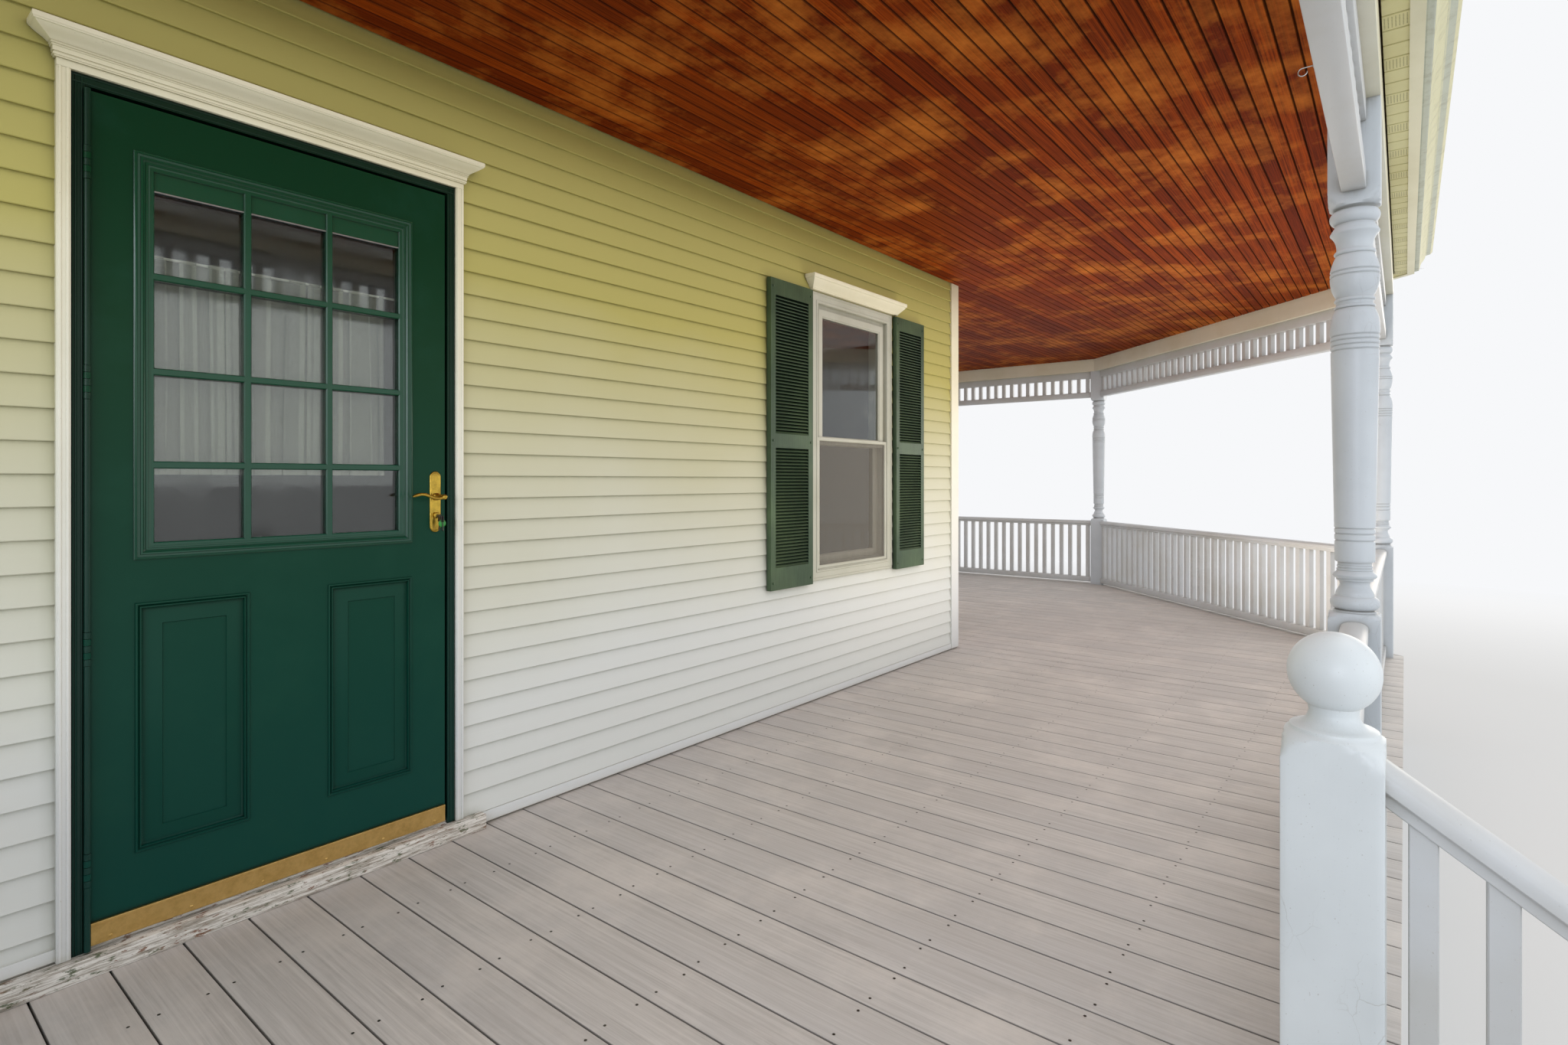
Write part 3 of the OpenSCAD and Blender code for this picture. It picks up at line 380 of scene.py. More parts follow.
# Streaks are long along the grain of each group of timbers
FINISH = {
    # The posts' white is a darker, shaded copy of the newels' white, which is the lit copy: painted shade
    # under the porch roof, painted light out at the stair
    "post_paint": sheen_paint("shaded_copy_white_post_paint", "#CDD4DA", "#C0C7CD", "#8B877E", (5, 5, 150), cracked=0.3),
    "newel_paint": sheen_paint("lit_copy_white_newel_paint", "#E2E9EC", "#D6DDE0", "#969288", (5, 5, 150), 0.34,
                               cracked=0.35),
    "rail_paint": sheen_paint("white_rail_paint", "#CED1D3", "#C3C3BF", "#968C7A", (120, 120, 6)),
    "beam_paint": sheen_paint("white_beam_paint", "#F0EDDA", "#E6E1C8", "#A8A08C", (300, 300, 12)),
    "trim_vinyl": sheen_paint("cream_trim_vinyl", "#ECE8CC", "#E1DCBC", "#9C9474", (300, 300, 12), 0.45,
                              bleached_and_skylit="#DFE3E4"),
    "soffit": sheen_paint("cream_soffit_vinyl", "#E3DDA9", "#D8D096", "#8F8660", (90, 90, 30), 0.5),
    # A greyer copy of the white vinyl: painted shade on the window's frame and sashes
    "window_vinyl": sheen_paint("shaded_grey_window_vinyl", "#BFC0B1", "#B0B09E", "#7C7560", (12, 12, 240), 0.45),
    "room_paint": sheen_paint("semi_gloss_room_paint", "#E8E6DF", "#E0DDD4", "#C2BCAE", (200, 200, 20), 0.35),
    "gutter": make_gutter(),
    "siding": make_siding(),
    "deck": board_wood("greyed_deck_board", DECK_PITCH, DECK_START - DECK_GAP / 2, 0, *GREYED,
                       3.5, 0.62, 0.4),
    "tread": board_wood("greyed_tread_board", TREAD_BOARD + TREAD_GAP, -3010, 1, *GREYED, 0, 0.62, 0.4),
    "ceiling": board_wood("stained_ceiling_board", CEILING_PITCH, FRONT + HALF, 1, ("#7C2D08", "#AC4B0F"),
                          "#461704", "#D98232", 5.0, 0.6, 0.04),
    # The greens turn to their second, bluer colour near the floor: a painted reflection of the sky
    "door": smooth_paint("green_door_enamel", "#08361D", "#0B4038", "#1C4A3A", "#03140C", 0.32, 0.17),
    # A lighter, bluer copy of the door's green: a painted reflection of the sky on the moulding's ribs
    "lite": smooth_paint("sky_tinted_green_moulding_enamel", "#0C4229", "#0D4339", "#1C4A3A", "#03140C", 0.24, 0.5),
    "frame": smooth_paint("green_frame_enamel", "#082C1A", "#0A3630", "#1A4034", "#03140C", 0.4, 0.3),
    "green_tag": smooth_paint("green_key_tag_plastic", "#2F8A3A", "#2F8A3A", "#4FA355", "#1C5523", 0.4),
    "white_rod": smooth_paint("white_rod_enamel", "#D3D0C2", "#D3D0C2", "#BEBAAB", "#8F8B7E", 0.4),
    # Dark discs of painted shade stand for the soffit's air holes
    "vent": smooth_paint("shaded_vent_vinyl", "#6E6640", "#6E6640", "#8A8460", "#4A4428", 0.7),
    "shutter": make_shutter(),
    "brass": make_metal("rubbed_brass", "#D8B64E", "#8E7232", 0.27),
    "satin_brass": make_metal("satin_brass_sheet", "#E8C57E", "#C5A05A", 0.36),
    "glass": make_glass(),
    "concrete": make_concrete("board_cast_concrete", "#A5A197", "#8C887E"),
    "lumber": make_bare_timber("treated_framing_timber", "#A58D66", "#7F6A49", (300, 300, 8)),
    "lumber_up": make_bare_timber("roof_sheathing_board", "#B59A6E", "#8C744E", (240, 30, 30)),
    "wall": make_plaster(),
    "sill": make_weathered_sill(),
    "shingle": make_shingle(),
    "sheer": make_cloth("sheer_voile", "#CFCDB6", "#E2E0CC", 0.33),
    "hem": make_cloth("doubled_voile_hem", "#C9C6B4", "#DCD9CA", 0.9),
    # Dark cloth for the blinds that stand for the dark room: painted shade
    "shade": make_cloth("dark_room_shade_cloth", "#17130F", "#241E18", 1.0),
    "screen": make_cloth("insect_screen_mesh", "#78756D", "#8C887E", 0.5),
    "steel": make_metal("dull_steel", "#6E6B66", "#4A4743", 0.45),
    "aluminium": make_metal("mill_finish_aluminium", "#D2D4D3", "#A9ABA8", 0.32),
}


# Building
def finish(name, bm, look, replaces=(), body="root", smooth=35):
    """Turns a bmesh in millimetres into a piece of the porch that rides on its body."""
    bm.transform(TO_FRAME)
    mesh = bpy.data.meshes.new(name)
    bm.to_mesh(mesh)
    bm.free()
    mesh.materials.append(FINISH[look])
    if smooth:
        mesh.polygons.foreach_set("use_smooth", [True] * len(mesh.polygons))
        mesh.set_sharp_from_angle(angle=math.radians(smooth))
    piece = bpy.data.objects.new(name, mesh)
    bpy.context.collection.objects.link(piece)
    if replaces:
        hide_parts(*replaces)
    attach(piece, body)
    return piece


def picked(items, kind):
    """The vertices, the edges or the faces among what an operator gave back."""
    return [item for item in items if isinstance(item, kind)]


def outwards(bm):
    """Turns every face outwards."""
    bmesh.ops.recalc_face_normals(bm, faces=bm.faces)


def block(bm, low, high, ease=0.0, steps=2):
    """A box between two corners, its edges eased."""
    made = bmesh.ops.create_cube(bm, size=1.0)["verts"]
    bmesh.ops.scale(bm, vec=[b - a for a, b in zip(low, high)], verts=made)
    bmesh.ops.translate(bm, vec=[(a + b) / 2 for a, b in zip(low, high)], verts=made)
    if ease:
        edges = list({edge for vert in made for edge in vert.link_edges})
        bmesh.ops.bevel(bm, geom=edges, offset=ease, offset_type="OFFSET", segments=steps, profile=0.5,
                        affect="EDGES", material=-1, clamp_overlap=True)


def extruded(bm, outline, move):
    """A flat outline drawn out along a vector into a closed solid."""
    face = bm.faces.new([bm.verts.new(point) for point in outline])
    made = bmesh.ops.extrude_face_region(bm, geom=[face])["geom"]
    bmesh.ops.translate(bm, vec=move, verts=picked(made, bmesh.types.BMVert))


def disc(bm, at, radius, sides=8):
    """A small flat disc: the head of a sunk screw, or an air hole."""
    made = bmesh.ops.create_circle(bm, cap_ends=True, radius=radius, segments=sides)["verts"]
    bmesh.ops.translate(bm, vec=at, verts=made)


def quads(bm, near, far):
    """Faces between two rows of vertices."""
    for i in range(len(near) - 1):
        bm.faces.new((near[i], near[i + 1], far[i + 1], far[i]))


def put(target, source, matrix=Matrix()):
    """Adds a finished bmesh to another one, moved by the matrix."""
    source.transform(matrix)
    holder = bpy.data.meshes.new("holder")
    source.to_mesh(holder)
    source.free()
    target.from_mesh(holder)
    bpy.data.meshes.remove(holder)


def heading(a, b, z=0.0):
    """Places something drawn along +X, with the house on its +Y side, from plan point a towards b."""
    turn = math.atan2(b[1] - a[1], b[0] - a[0])
    return Matrix.Translation((a[0], a[1], z)) @ Matrix.Rotation(turn, 4, "Z")


def span(a, b):
    """Length between two plan points."""
    return math.hypot(b[0] - a[0], b[1] - a[1])


def cut(bm, point, normal):
    """Cuts away what lies on the normal's side of a plane, and closes the cut."""
    made = bmesh.ops.bisect_plane(bm, geom=[*bm.verts, *bm.edges, *bm.faces], dist=0.001, plane_co=point,
                                  plane_no=normal, clear_outer=True)
    bmesh.ops.holes_fill(bm, edges=picked(made["geom_cut"], bmesh.types.BMEdge), sides=0)


def arc(middle, height, radius, first, last, steps):
    """Points of an arc in a profile, from the first angle to the last, in degrees."""
    turns = [math.radians(first + (last - first) * i / steps) for i in range(steps + 1)]
    return [(middle + radius * math.cos(turn), height + radius * math.sin(turn)) for turn in turns]


def groove(radius, z):
    """A turner's groove in a profile, 3 mm deep."""
    return [(radius - deep, z + up) for deep, up in ((0, -4), (1.2, -2.6), (3, 0), (1.2, 2.6), (0, 4))]


def turning(points, steps=64):
    """Spins a profile of (radius, height) round Z; what is wider than the square stock is flat on its
    faces."""
    bm = bmesh.new()
    verts = [bm.verts.new((radius, 0, z)) for radius, z in points]
    edges = [bm.edges.new(pair) for pair in zip(verts, verts[1:])]
    bmesh.ops.spin(bm, geom=verts + edges, cent=(0, 0, 0), axis=(0, 0, 1), angle=math.tau, steps=steps,
                   use_merge=True, use_duplicate=False)
    bmesh.ops.remove_doubles(bm, verts=bm.verts, dist=0.01)
    for vert in bm.verts:
        wide = max(abs(vert.co.x), abs(vert.co.y))
        if wide > HALF:
            vert.co.x *= HALF / wide
            vert.co.y *= HALF / wide
    outwards(bm)
    arris = [edge for edge in bm.edges
             if all(min(abs(vert.co.x), abs(vert.co.y)) > HALF - 0.05 for vert in edge.verts)]
    bmesh.ops.bevel(bm, geom=arris, offset=2.5, offset_type="OFFSET", segments=2, profile=0.5, affect="EDGES",
                    material=-1)
    return bm


# Posts, from the floor up
SQUARE = 104  # radius that reaches past the corners of the square stock
POST_PROFILE = (
    [(0, 0), (SQUARE, 0), (SQUARE, 300), (SQUARE, 704), (98, 714), (91, 725), (81, 733), (69, 738), (59, 739),
     (57, 744)]
    + arc(44, 769, 24, -70, 66, 14)
    + [(53, 793), (52.5, 800), (50.5, 806), (46, 814), (42.5, 821), (40.5, 829), (41.5, 836), (44, 840),
       (48.5, 841), (50.5, 843), (50.5, 848), (56, 850.5), (59.5, 855), (60.5, 860), (58.5, 864), (54, 867),
       (50.5, 871), (48.5, 875), (50, 876.5), (50, 880), (47.2, 881.5), (47.2, 885), (48.8, 886.5),
       (48.8, 890), (46, 891.5), (46, 902), (51.5, 903), (54, 906), (55, 912)]
    + groove(55.2, 973) + groove(55.5, 995) + groove(56, 1013)
    + [(61, 1300)]
    + groove(66, 1598) + groove(66.5, 1614) + groove(67, 1630) + groove(67.5, 1645)
    + [(68.5, 1664), (67.5, 1682), (65.5, 1700), (61.5, 1715), (57, 1726), (54, 1733), (52, 1736),
       (55.5, 1738), (56.5, 1741), (55, 1744.5), (51.5, 1747), (50.8, 1753), (52, 1758), (55.5, 1760.5),
       (56.5, 1764), (55, 1768), (51.8, 1770.5), (52.5, 1776), (56.5, 1783.5), (61, 1794), (64.8, 1807),
       (67, 1821), (68, 1833)]
    + groove(68.2, 1843) + groove(68, 1857)
    + [(66.6, 1867), (63.6, 1881), (59.6, 1894), (55.8, 1904), (52.6, 1911)]
    + arc(49.5, 1920, 7.5, -70, 70, 7)
    + [(50, 1930), (49.5, 1936), (50, 1944), (51.6, 1953), (54.2, 1962), (58.6, 1971), (63.5, 1978),
       (67, 1982), (67.8, 1985), (66.5, 1989), (61, 1998), (56, 2006), (54.2, 2011)]
    + arc(43, 2037, 26, -65, 65, 14)
    + [(56, 2063), (60, 2065), (69, 2066), (81, 2073), (91, 2085), (97, 2097), (101, 2109), (SQUARE, 2120),
       (SQUARE, BEAM), (0, BEAM)])

POSTS = {"stair_post": STAIR_POST, "front_post": FRONT_POST, "front_corner_post": CORNER_POST,
         "side_corner_post": SIDE_POST, "back_corner_post": BACK_POST, "back_post": MIDDLE_POST}
for name, place in POSTS.items():
    bm = turning(POST_PROFILE)
    bm.transform(Matrix.Translation((*place, FLOOR)))
    finish("turned_" + name, bm, "post_paint", [name])


def newel(height):
    """A newel with a ball, square up to the height."""
    return turning(
        [(0, 0), (SQUARE, 0), (SQUARE, height - 2), (100, height), (99, height + 8), (95, height + 21),
         (88, height + 33), (80, height + 42), (72, height + 48), (66, height + 51), (64, height + 53),
         (63, height + 58), (60, height + 60), (54, height + 61), (47, height + 64), (41, height + 69),
         (37, height + 76), (35.5, height + 84), (36.5, height + 92)] + arc(0, height + 150, 67, -57, 90, 22))


NEWEL_TALL = 700
RAIL_FALL = RISE / GOING
bm = bmesh.new()
put(bm, newel(NEWEL_TALL), Matrix.Translation((*NEWEL, FLOOR)))
for x in (LEFT, NEWEL[0]):
    put(bm, newel(NEWEL_TALL + FLOOR - RAIL_FALL * (FRONT - FOOT_Y)), Matrix.Translation((x, FOOT_Y, 0)))
finish("ball_newels", bm, "newel_paint", ["newels"])

# Railings and friezes, in heights over the floor
RAIL_HALF = 33
HAND_RAIL, HAND_RAIL_TALL = 658, 56
LOWER_RAIL, FRIEZE_RAILS = (22, 78, 4.0), ((2106, 2166, 4.0), (2323, BEAM, 3.0))
BAR_HALF, BAR_PITCH, BITE = 19, 98, 2


def loaf(height):
    """Section of the hand rail: a narrow foot, a cove and a lip along its sides, a low round top."""
    side = height - 17
    half = 37
    edge = [(half - 14, 0), (half - 12, 2), (half - 12, 13), (half - 10.5, 17), (half - 7, 20),
            (half - 2, 21.5), (half, 24), (half, side)]
    top = [(half * math.cos(math.radians(a)), side + 17 * math.sin(math.radians(a)))
           for a in range(160, 19, -20)]
    return [(-y, z) for y, z in edge] + top + edge[::-1]


def panel(target, a, b, trim, rails, low, high):
    """Rails between two posts, each from a height to a height with its edges eased, and upright bars that
    bite into the rails below and above them."""
    bm = bmesh.new()
    length = span(a, b)
    for foot, top, ease in rails:
        block(bm, (trim, -RAIL_HALF, foot), (length - trim, RAIL_HALF, top), ease)
    count = round((length - 2 * HALF) / BAR_PITCH)
    for i in range(count):
        x = HALF + (i + 0.5) * ((length - 2 * HALF) / count)
        block(bm, (x - BAR_HALF, -BAR_HALF, low - BITE), (x + BAR_HALF, BAR_HALF, high + BITE), 2.0, 1)
    put(target, bm, heading(a, b, FLOOR))


def railing(target, a, b, trim=HALF):
    """Hand rail, lower rail and bars."""
    hand_rail = bmesh.new()
    section = [(trim, y, HAND_RAIL + z) for y, z in loaf(HAND_RAIL_TALL)]
    extruded(hand_rail, section, (span(a, b) - trim - trim, 0, 0))
    put(target, hand_rail, heading(a, b, FLOOR))
    panel(target, a, b, trim, [LOWER_RAIL], LOWER_RAIL[1], HAND_RAIL)


def frieze(target, a, b, trim=HALF):
    """Two rails with slats, under the beam."""
    panel(target, a, b, trim, FRIEZE_RAILS, FRIEZE_RAILS[0][1], FRIEZE_RAILS[1][0])


BAYS = {"newel": (NEWEL, FRONT_POST), "front": (FRONT_POST, CORNER_POST), "corner": (CORNER_POST, SIDE_POST),
        "side": (SIDE_POST, BACK_POST), "stair": (STAIR_POST, FRONT_POST)}
DIAGONAL = HALF * math.sqrt(2) - 8
for draw, kind, node_kind, without in ((railing, "_balustrade", "_railing", "stair"),
                                       (frieze, "_slat_frieze", "_frieze", "newel")):
    for bay, ends in BAYS.items():
        if bay != without:
            bm = bmesh.new()
            draw(bm, *ends, DIAGONAL if bay == "corner" else HALF)
            finish(bay + kind, bm, "rail_paint", [bay + node_kind])
for draw, name, node_name in ((railing, "end_balustrades", "end_railings"),
                              (frieze, "end_slat_friezes", "end_friezes")):
    bm = bmesh.new()
    for ends in (((LEFT, HALF), STAIR_POST), (BACK_POST, MIDDLE_POST), (MIDDLE_POST, (-HALF, BACK))):
        draw(bm, *ends)
    finish(name, bm, "rail_paint", [node_name])


def stair_rail(bm, x, top_y):
    """Sloping hand rail, lower rail and upright bars between two newels."""
    high_y, low_y = top_y - HALF, FOOT_Y + HALF
    top = FLOOR + 706
    lower_rail = [(-RAIL_HALF, 0), (-RAIL_HALF, 50), (RAIL_HALF, 50), (RAIL_HALF, 0)]
    for section, drop in ((loaf(58), 58), (lower_rail, 600)):
        part = bmesh.new()
        extruded(part, [(0, y, z) for y, z in section], (2000, 0, 0))
        for move in (Matrix.Translation((-300, 0, 0)), Matrix.Rotation(math.atan(RAIL_FALL), 4, "Y"),
                     Matrix.Rotation(math.radians(-90), 4, "Z"), Matrix.Translation((x, high_y, top - drop))):
            part.transform(move)
        cut(part, (0, high_y, 0), (0, 1, 0))
        cut(part, (0, low_y, 0), (0, -1, 0))
        put(bm, part)
    count = round((high_y - low_y) / BAR_PITCH)
    for i in range(count):
        y = high_y - (i + 0.5) * ((high_y - low_y) / count)
        z = top - RAIL_FALL * (high_y - y)
        block(bm, (x - BAR_HALF, y - BAR_HALF, z - 565), (x + BAR_HALF, y + BAR_HALF, z - 45), 2.0, 1)


bm = bmesh.new()
stair_rail(bm, LEFT, FRONT)
stair_rail(bm, *NEWEL)
outwards(bm)
finish("stair_balustrades", bm, "rail_paint", ["stair_rails"])

# Floor of boards that run out from the wall, and their screws over each joist
random.seed(11)
DECK_THICK, NARROWEST = 25, 20
FIRST_BUTT, BUTT_GAP = 262, 0.7
SCREW_ROWS, FIRST_SCREWS, SCREW_IN = 400, 419, 24
deck_front = FRONT - DECK_OUT
slant_x, slant_y = ring(DECK_OUT)[2]
bm, heads = bmesh.new(), bmesh.new()
for i in range(math.floor((LEFT - DECK_OUT) / DECK_PITCH) - 1, 30):
    x0 = DECK_START + DECK_PITCH * i
    x1 = min(x0 + DECK_PITCH - DECK_GAP, SIDE + DECK_OUT)
    x0 = max(x0, LEFT - DECK_OUT)
    if x1 - x0 < NARROWEST:
        continue
    if x0 < 0 < x1:
        x0 = 2
    back = 11 if x0 < 0 else BACK + DECK_OUT
    butts = [FIRST_BUTT + SCREW_ROWS * (i % 3)] if x0 > 0 else []
    stops = [deck_front, *butts, back]
    for near, far in zip(stops, stops[1:]):
        lift = random.uniform(-0.5, 0.0)
        block(bm, (x0, near + BUTT_GAP, FLOOR - DECK_THICK + lift),
              (x1, far - BUTT_GAP, FLOOR + lift), 2.2, 2)
    for y in range(FRONT + FIRST_SCREWS, back - 30, SCREW_ROWS):
        if y - deck_front > x0 - slant_x + 30:
            for x in (x0 + SCREW_IN, x1 - SCREW_IN):
                disc(heads, (x + random.uniform(-4, 4), y + random.uniform(-5, 5), FLOOR + 0.25), 3.6)
cut(bm, (slant_x, slant_y, 0), (1, -1, 0))
finish("deck_boards", bm, "deck", ["porch_floor"])
finish("deck_screw_heads", heads, "steel", smooth=0)

# Ceiling of narrow boards along the front, each with a groove at its edges
CEILING_THICK, SHORTEST, LONGEST = 11, 1500, 3600
GROOVE_WIDE, GROOVE_DEEP = 4.2, 5.5
bm = bmesh.new()
first_y, last_y, slant_start = FRONT + HALF, BACK - HALF, ring(-HALF)[2]
for i in range(round((last_y - first_y) / CEILING_PITCH) + 1):
    y0 = first_y + CEILING_PITCH * i
    y1 = min(y0 + CEILING_PITCH, last_y)
    if y1 - y0 < 10:
        continue
    joints = [LEFT + HALF] if y0 < 0 else [0.5]
    while joints[-1] < SIDE - HALF - 2600:
        joints.append(joints[-1] + random.uniform(SHORTEST, LONGEST))
    joints.append(SIDE - HALF)
    if y0 < 0 < y1:
        joints = sorted([0.0] + [x for x in joints if abs(x) > 200])
    for near, far in zip(joints, joints[1:]):
        back = 0 if y0 < 0 < y1 and far <= 0 else y1
        drop = CEILING + random.uniform(0, 0.6)
        section = ((y0 + 0.05, GROOVE_DEEP), (y0 + GROOVE_WIDE, 0), (back - GROOVE_WIDE, 0),
                   (back - 0.05, GROOVE_DEEP), (back - 0.05, CEILING_THICK), (y0 + 0.05, CEILING_THICK))
        extruded(bm, [(near + 0.4, y, drop + up) for y, up in section], (far - near - 0.8, 0, 0))
outwards(bm)
cut(bm, (*slant_start, 0), (1, -1, 0))
finish("ceiling_boards", bm, "ceiling", ["ceiling"])


# Mouldings on upright faces
def upright(bm, low, high, y):
    """A flat face towards the porch; low and high are its corners (x, z)."""
    (x0, z0), (x1, z1) = low, high
    return bm.faces.new([bm.verts.new((x, y, z)) for x, z in ((x0, z0), (x1, z0), (x1, z1), (x0, z1))])


def stepped(bm, faces, steps):
    """Works a moulding into the faces from their edge inwards; each step is how far in and how far out."""
    for wide, proud in steps:
        bmesh.ops.inset_region(bm, faces=faces, thickness=wide, depth=proud, use_even_offset=True,
                               use_boundary=True)


def split(bm, faces, axis, values):
    """Cuts the faces along lines of constant x, axis 0, or z, axis 2."""
    for value in values:
        point, normal = [0, 0, 0], [0, 0, 0]
        point[axis], normal[axis] = value, 1
        geom = list({item for face in faces for item in (face, *face.edges, *face.verts)})
        made = bmesh.ops.bisect_plane(bm, geom=geom, dist=0.001, plane_co=point, plane_no=normal)
        faces = picked(made["geom"], bmesh.types.BMFace)
    return faces


def within(faces, axis, low, high):
    """The faces whose middle lies between two values of x or z."""
    return [face for face in faces if low < face.calc_center_median()[axis] < high]


def opened(bm, faces, deep):
    """Sinks each face to y = deep and takes it out, which leaves an opening with plain sides."""
    for face in faces:
        stepped(bm, [face], [(0.01, face.calc_center_median().y - deep)])
    bmesh.ops.delete(bm, geom=faces, context="FACES_ONLY")


def bounds(verts):
    """Lowest and highest corner."""
    return tuple([pick(vert.co[i] for vert in verts) for i in range(3)] for pick in (min, max))


def rim_back(bm, deep, shrink=0.0):
    """Draws the outermost open edge straight back to y = deep, after pulling it in by shrink."""
    rim = [edge for edge in bm.edges if edge.is_boundary]
    low, high = bounds([vert for edge in rim for vert in edge.verts])
    middle, far = (low[0] + high[0]) / 2, (high[0] - low[0]) / 2
    rim = [edge for edge in rim if all(abs(abs(v.co.x - middle) - far) < 0.5 for v in edge.verts)
           or abs(edge.verts[0].co.x - edge.verts[1].co.x) > 2 * far - 1]
    for pull in ((shrink, 0.0) if shrink else (0.0,)):
        made = bmesh.ops.extrude_edge_only(bm, edges=rim)["geom"]
        verts, rim = picked(made, bmesh.types.BMVert), picked(made, bmesh.types.BMEdge)
        low, high = bounds(verts)
        for vert in verts:
            vert.co.x += pull if vert.co.x < (low[0] + high[0]) / 2 else -pull
            vert.co.z += pull if vert.co.z < (low[2] + high[2]) / 2 else -pull
    for vert in verts:
        vert.co.y = deep


def doubled(bm, middle):
    """Closes a front half by its mirror image behind the plane y = middle."""
    bm.transform(Matrix.Translation((0, -middle, 0)))
    bmesh.ops.mirror(bm, geom=[*bm.verts, *bm.edges, *bm.faces], matrix=Matrix(), merge_dist=0.05, axis="Y")
    bmesh.ops.remove_doubles(bm, verts=bm.verts, dist=0.005)
    bm.transform(Matrix.Translation((0, middle, 0)))
    outwards(bm)


def closed_back(bm):
    """Closes a frame at its back: its outer and inner edges there are joined by a flat ring."""
    bmesh.ops.bridge_loops(bm, edges=[edge for edge in bm.edges if edge.is_boundary])
    outwards(bm)


def stud(bm, point, radius, proud):
    """Head of a screw or nail on a face towards the porch: a low dome, half sunk."""
    made = bmesh.ops.create_uvsphere(bm, u_segments=10, v_segments=6, radius=radius)["verts"]
    bmesh.ops.scale(bm, vec=(1, proud / radius, 1), verts=made)
    bmesh.ops.translate(bm, vec=point, verts=made)


def rod(bm, points, radii, sides=12):
    """A round bar through the points, as thick at each as its radius says."""
    loops = []
    for i, (point, radius) in enumerate(zip(points, radii)):
        ahead = Vector(points[min(i + 1, len(points) - 1)]) - Vector(points[max(i - 1, 0)])
        turn = ahead.to_track_quat("Z", "X").to_matrix().to_4x4()
        verts = bmesh.ops.create_circle(bm, cap_ends=i in (0, len(points) - 1), radius=radius, segments=sides,
                                        matrix=Matrix.Translation(point) @ turn)["verts"]
        loops.append(list({edge for vert in verts for edge in vert.link_edges}))
    for near, far in zip(loops, loops[1:]):
        bmesh.ops.bridge_loops(bm, edges=near + far)
    outwards(bm)


def crown(bm, x0, x1, z0, profile, reach=62):
    """A moulded cap over an opening, from x0 to x1, with a mitred return at each end; profile is its
    projection at each height."""
    section = [(-out, z0 + up) for up, out in profile] + [(0, z0 + profile[-1][0]), (0, z0 + profile[0][0])]
    front = bmesh.new()
    extruded(front, [(x0, y, z) for y, z in section], (x1 - x0, 0, 0))
    cut(front, (x0 + reach, 0, 0), (-1, 1, 0))
    cut(front, (x1 - reach, 0, 0), (1, 1, 0))
    put(bm, front)
    for x, side in ((x0 + reach, 1), (x1 - reach, -1)):
        end = bmesh.new()
        extruded(end, [(x + side * y, 0, z) for y, z in section], (0, -reach, 0))
        cut(end, (x, 0, 0), (side, -1, 0))
        put(bm, end)
    outwards(bm)


# Door
LEAF_X0, LEAF_X1, LEAF_Z0, LEAF_Z1 = -4656, -3766, FLOOR + 63, FLOOR + 2100
LEAF_FACE, LEAF_MIDDLE = -4, 18
LITE_X0, LITE_X1, LITE_Z0, LITE_Z1 = -4570, -3873, FLOOR + 974, FLOOR + 1986
LITE_LAP = 30  # how far the frame of the lites reaches over the leaf
PANEL_WIDE = 252
PANELS = ((LITE_X0, LITE_X0 + PANEL_WIDE), (LITE_X1 - PANEL_WIDE, LITE_X1))
PANEL_Z0, PANEL_Z1 = FLOOR + 249, FLOOR + 870
PANEL_MOULD = [(2, 0), (1.6, 3.2), (3.4, 0.8), (1.6, -2.2), (2, -1.8), (1.6, 2.0), (2.8, 0.4), (1.8, -7.4),
               (4, -1.2), (36, 9.6), (1.4, -2.2)]
bm = bmesh.new()
leaf = upright(bm, (LEAF_X0, LEAF_Z0), (LEAF_X1, LEAF_Z1), LEAF_FACE + 1.5)
stepped(bm, [leaf], [(1.5, 1.5)])
lite_x, lite_z = (LITE_X0 + LITE_LAP, LITE_X1 - LITE_LAP), (LITE_Z0 + LITE_LAP, LITE_Z1 - LITE_LAP)
rows = split(bm, [leaf], 2, (PANEL_Z0, PANEL_Z1, *lite_z))
panel_row = split(bm, within(rows, 2, PANEL_Z0, PANEL_Z1), 0, [x for pair in PANELS for x in pair])
for pair in PANELS:
    stepped(bm, within(panel_row, 0, *pair), PANEL_MOULD)
opened(bm, within(split(bm, within(rows, 2, *lite_z), 0, lite_x), 0, *lite_x), LEAF_MIDDLE)
rim_back(bm, LEAF_MIDDLE)
doubled(bm, LEAF_MIDDLE)
finish("panelled_door_leaf", bm, "door", ["door_leaf"], "door", 30)

LITE_MOULD = [(0.6, 3.2), (4.6, 4.2), (1.6, 0.4), (1, -1.6), (5.2, -1.4), (1, 1.6), (4, 0.8), (1.2, -1.8),
              (4.8, -2.4), (1, 1.2), (3.2, 0.2), (1.2, -1.6), (3.4, -0.6), (1, -0.8)]
bm = bmesh.new()
lite = upright(bm, (LITE_X0, LITE_Z0), (LITE_X1, LITE_Z1), LEAF_FACE)
stepped(bm, [lite], LITE_MOULD)
panes = split(bm, split(bm, [lite], 0, (-4324, -4117)), 2, (FLOOR + 1210, FLOOR + 1444, FLOOR + 1682))
for wide, proud in ((6.5, 0), (2.5, -3)):
    bmesh.ops.inset_individual(bm, faces=panes, thickness=wide, depth=proud, use_even_offset=True)
opened(bm, panes, LEAF_MIDDLE)
rim_back(bm, LEAF_MIDDLE, 29)
doubled(bm, LEAF_MIDDLE)
STRIP_X0, STRIP_X1 = LITE_X0 + 34, LITE_X1 - 34  # the strip over the uppermost lites
for y0, y1 in ((3, 9), (27, 33)):
    block(bm, (STRIP_X0, y0, FLOOR + 1897), (STRIP_X1, y1, LITE_Z1 - 32), 0.6, 1)
finish("moulded_lite_frame", bm, "lite", ["door_lite_frame"], "door", 30)
bm = bmesh.new()
block(bm, (STRIP_X0, 1.4, FLOOR + 1894), (STRIP_X1, 9.5, FLOOR + 1897.4), 0.4, 1)
finish("lite_head_strip", bm, "aluminium", body="door")

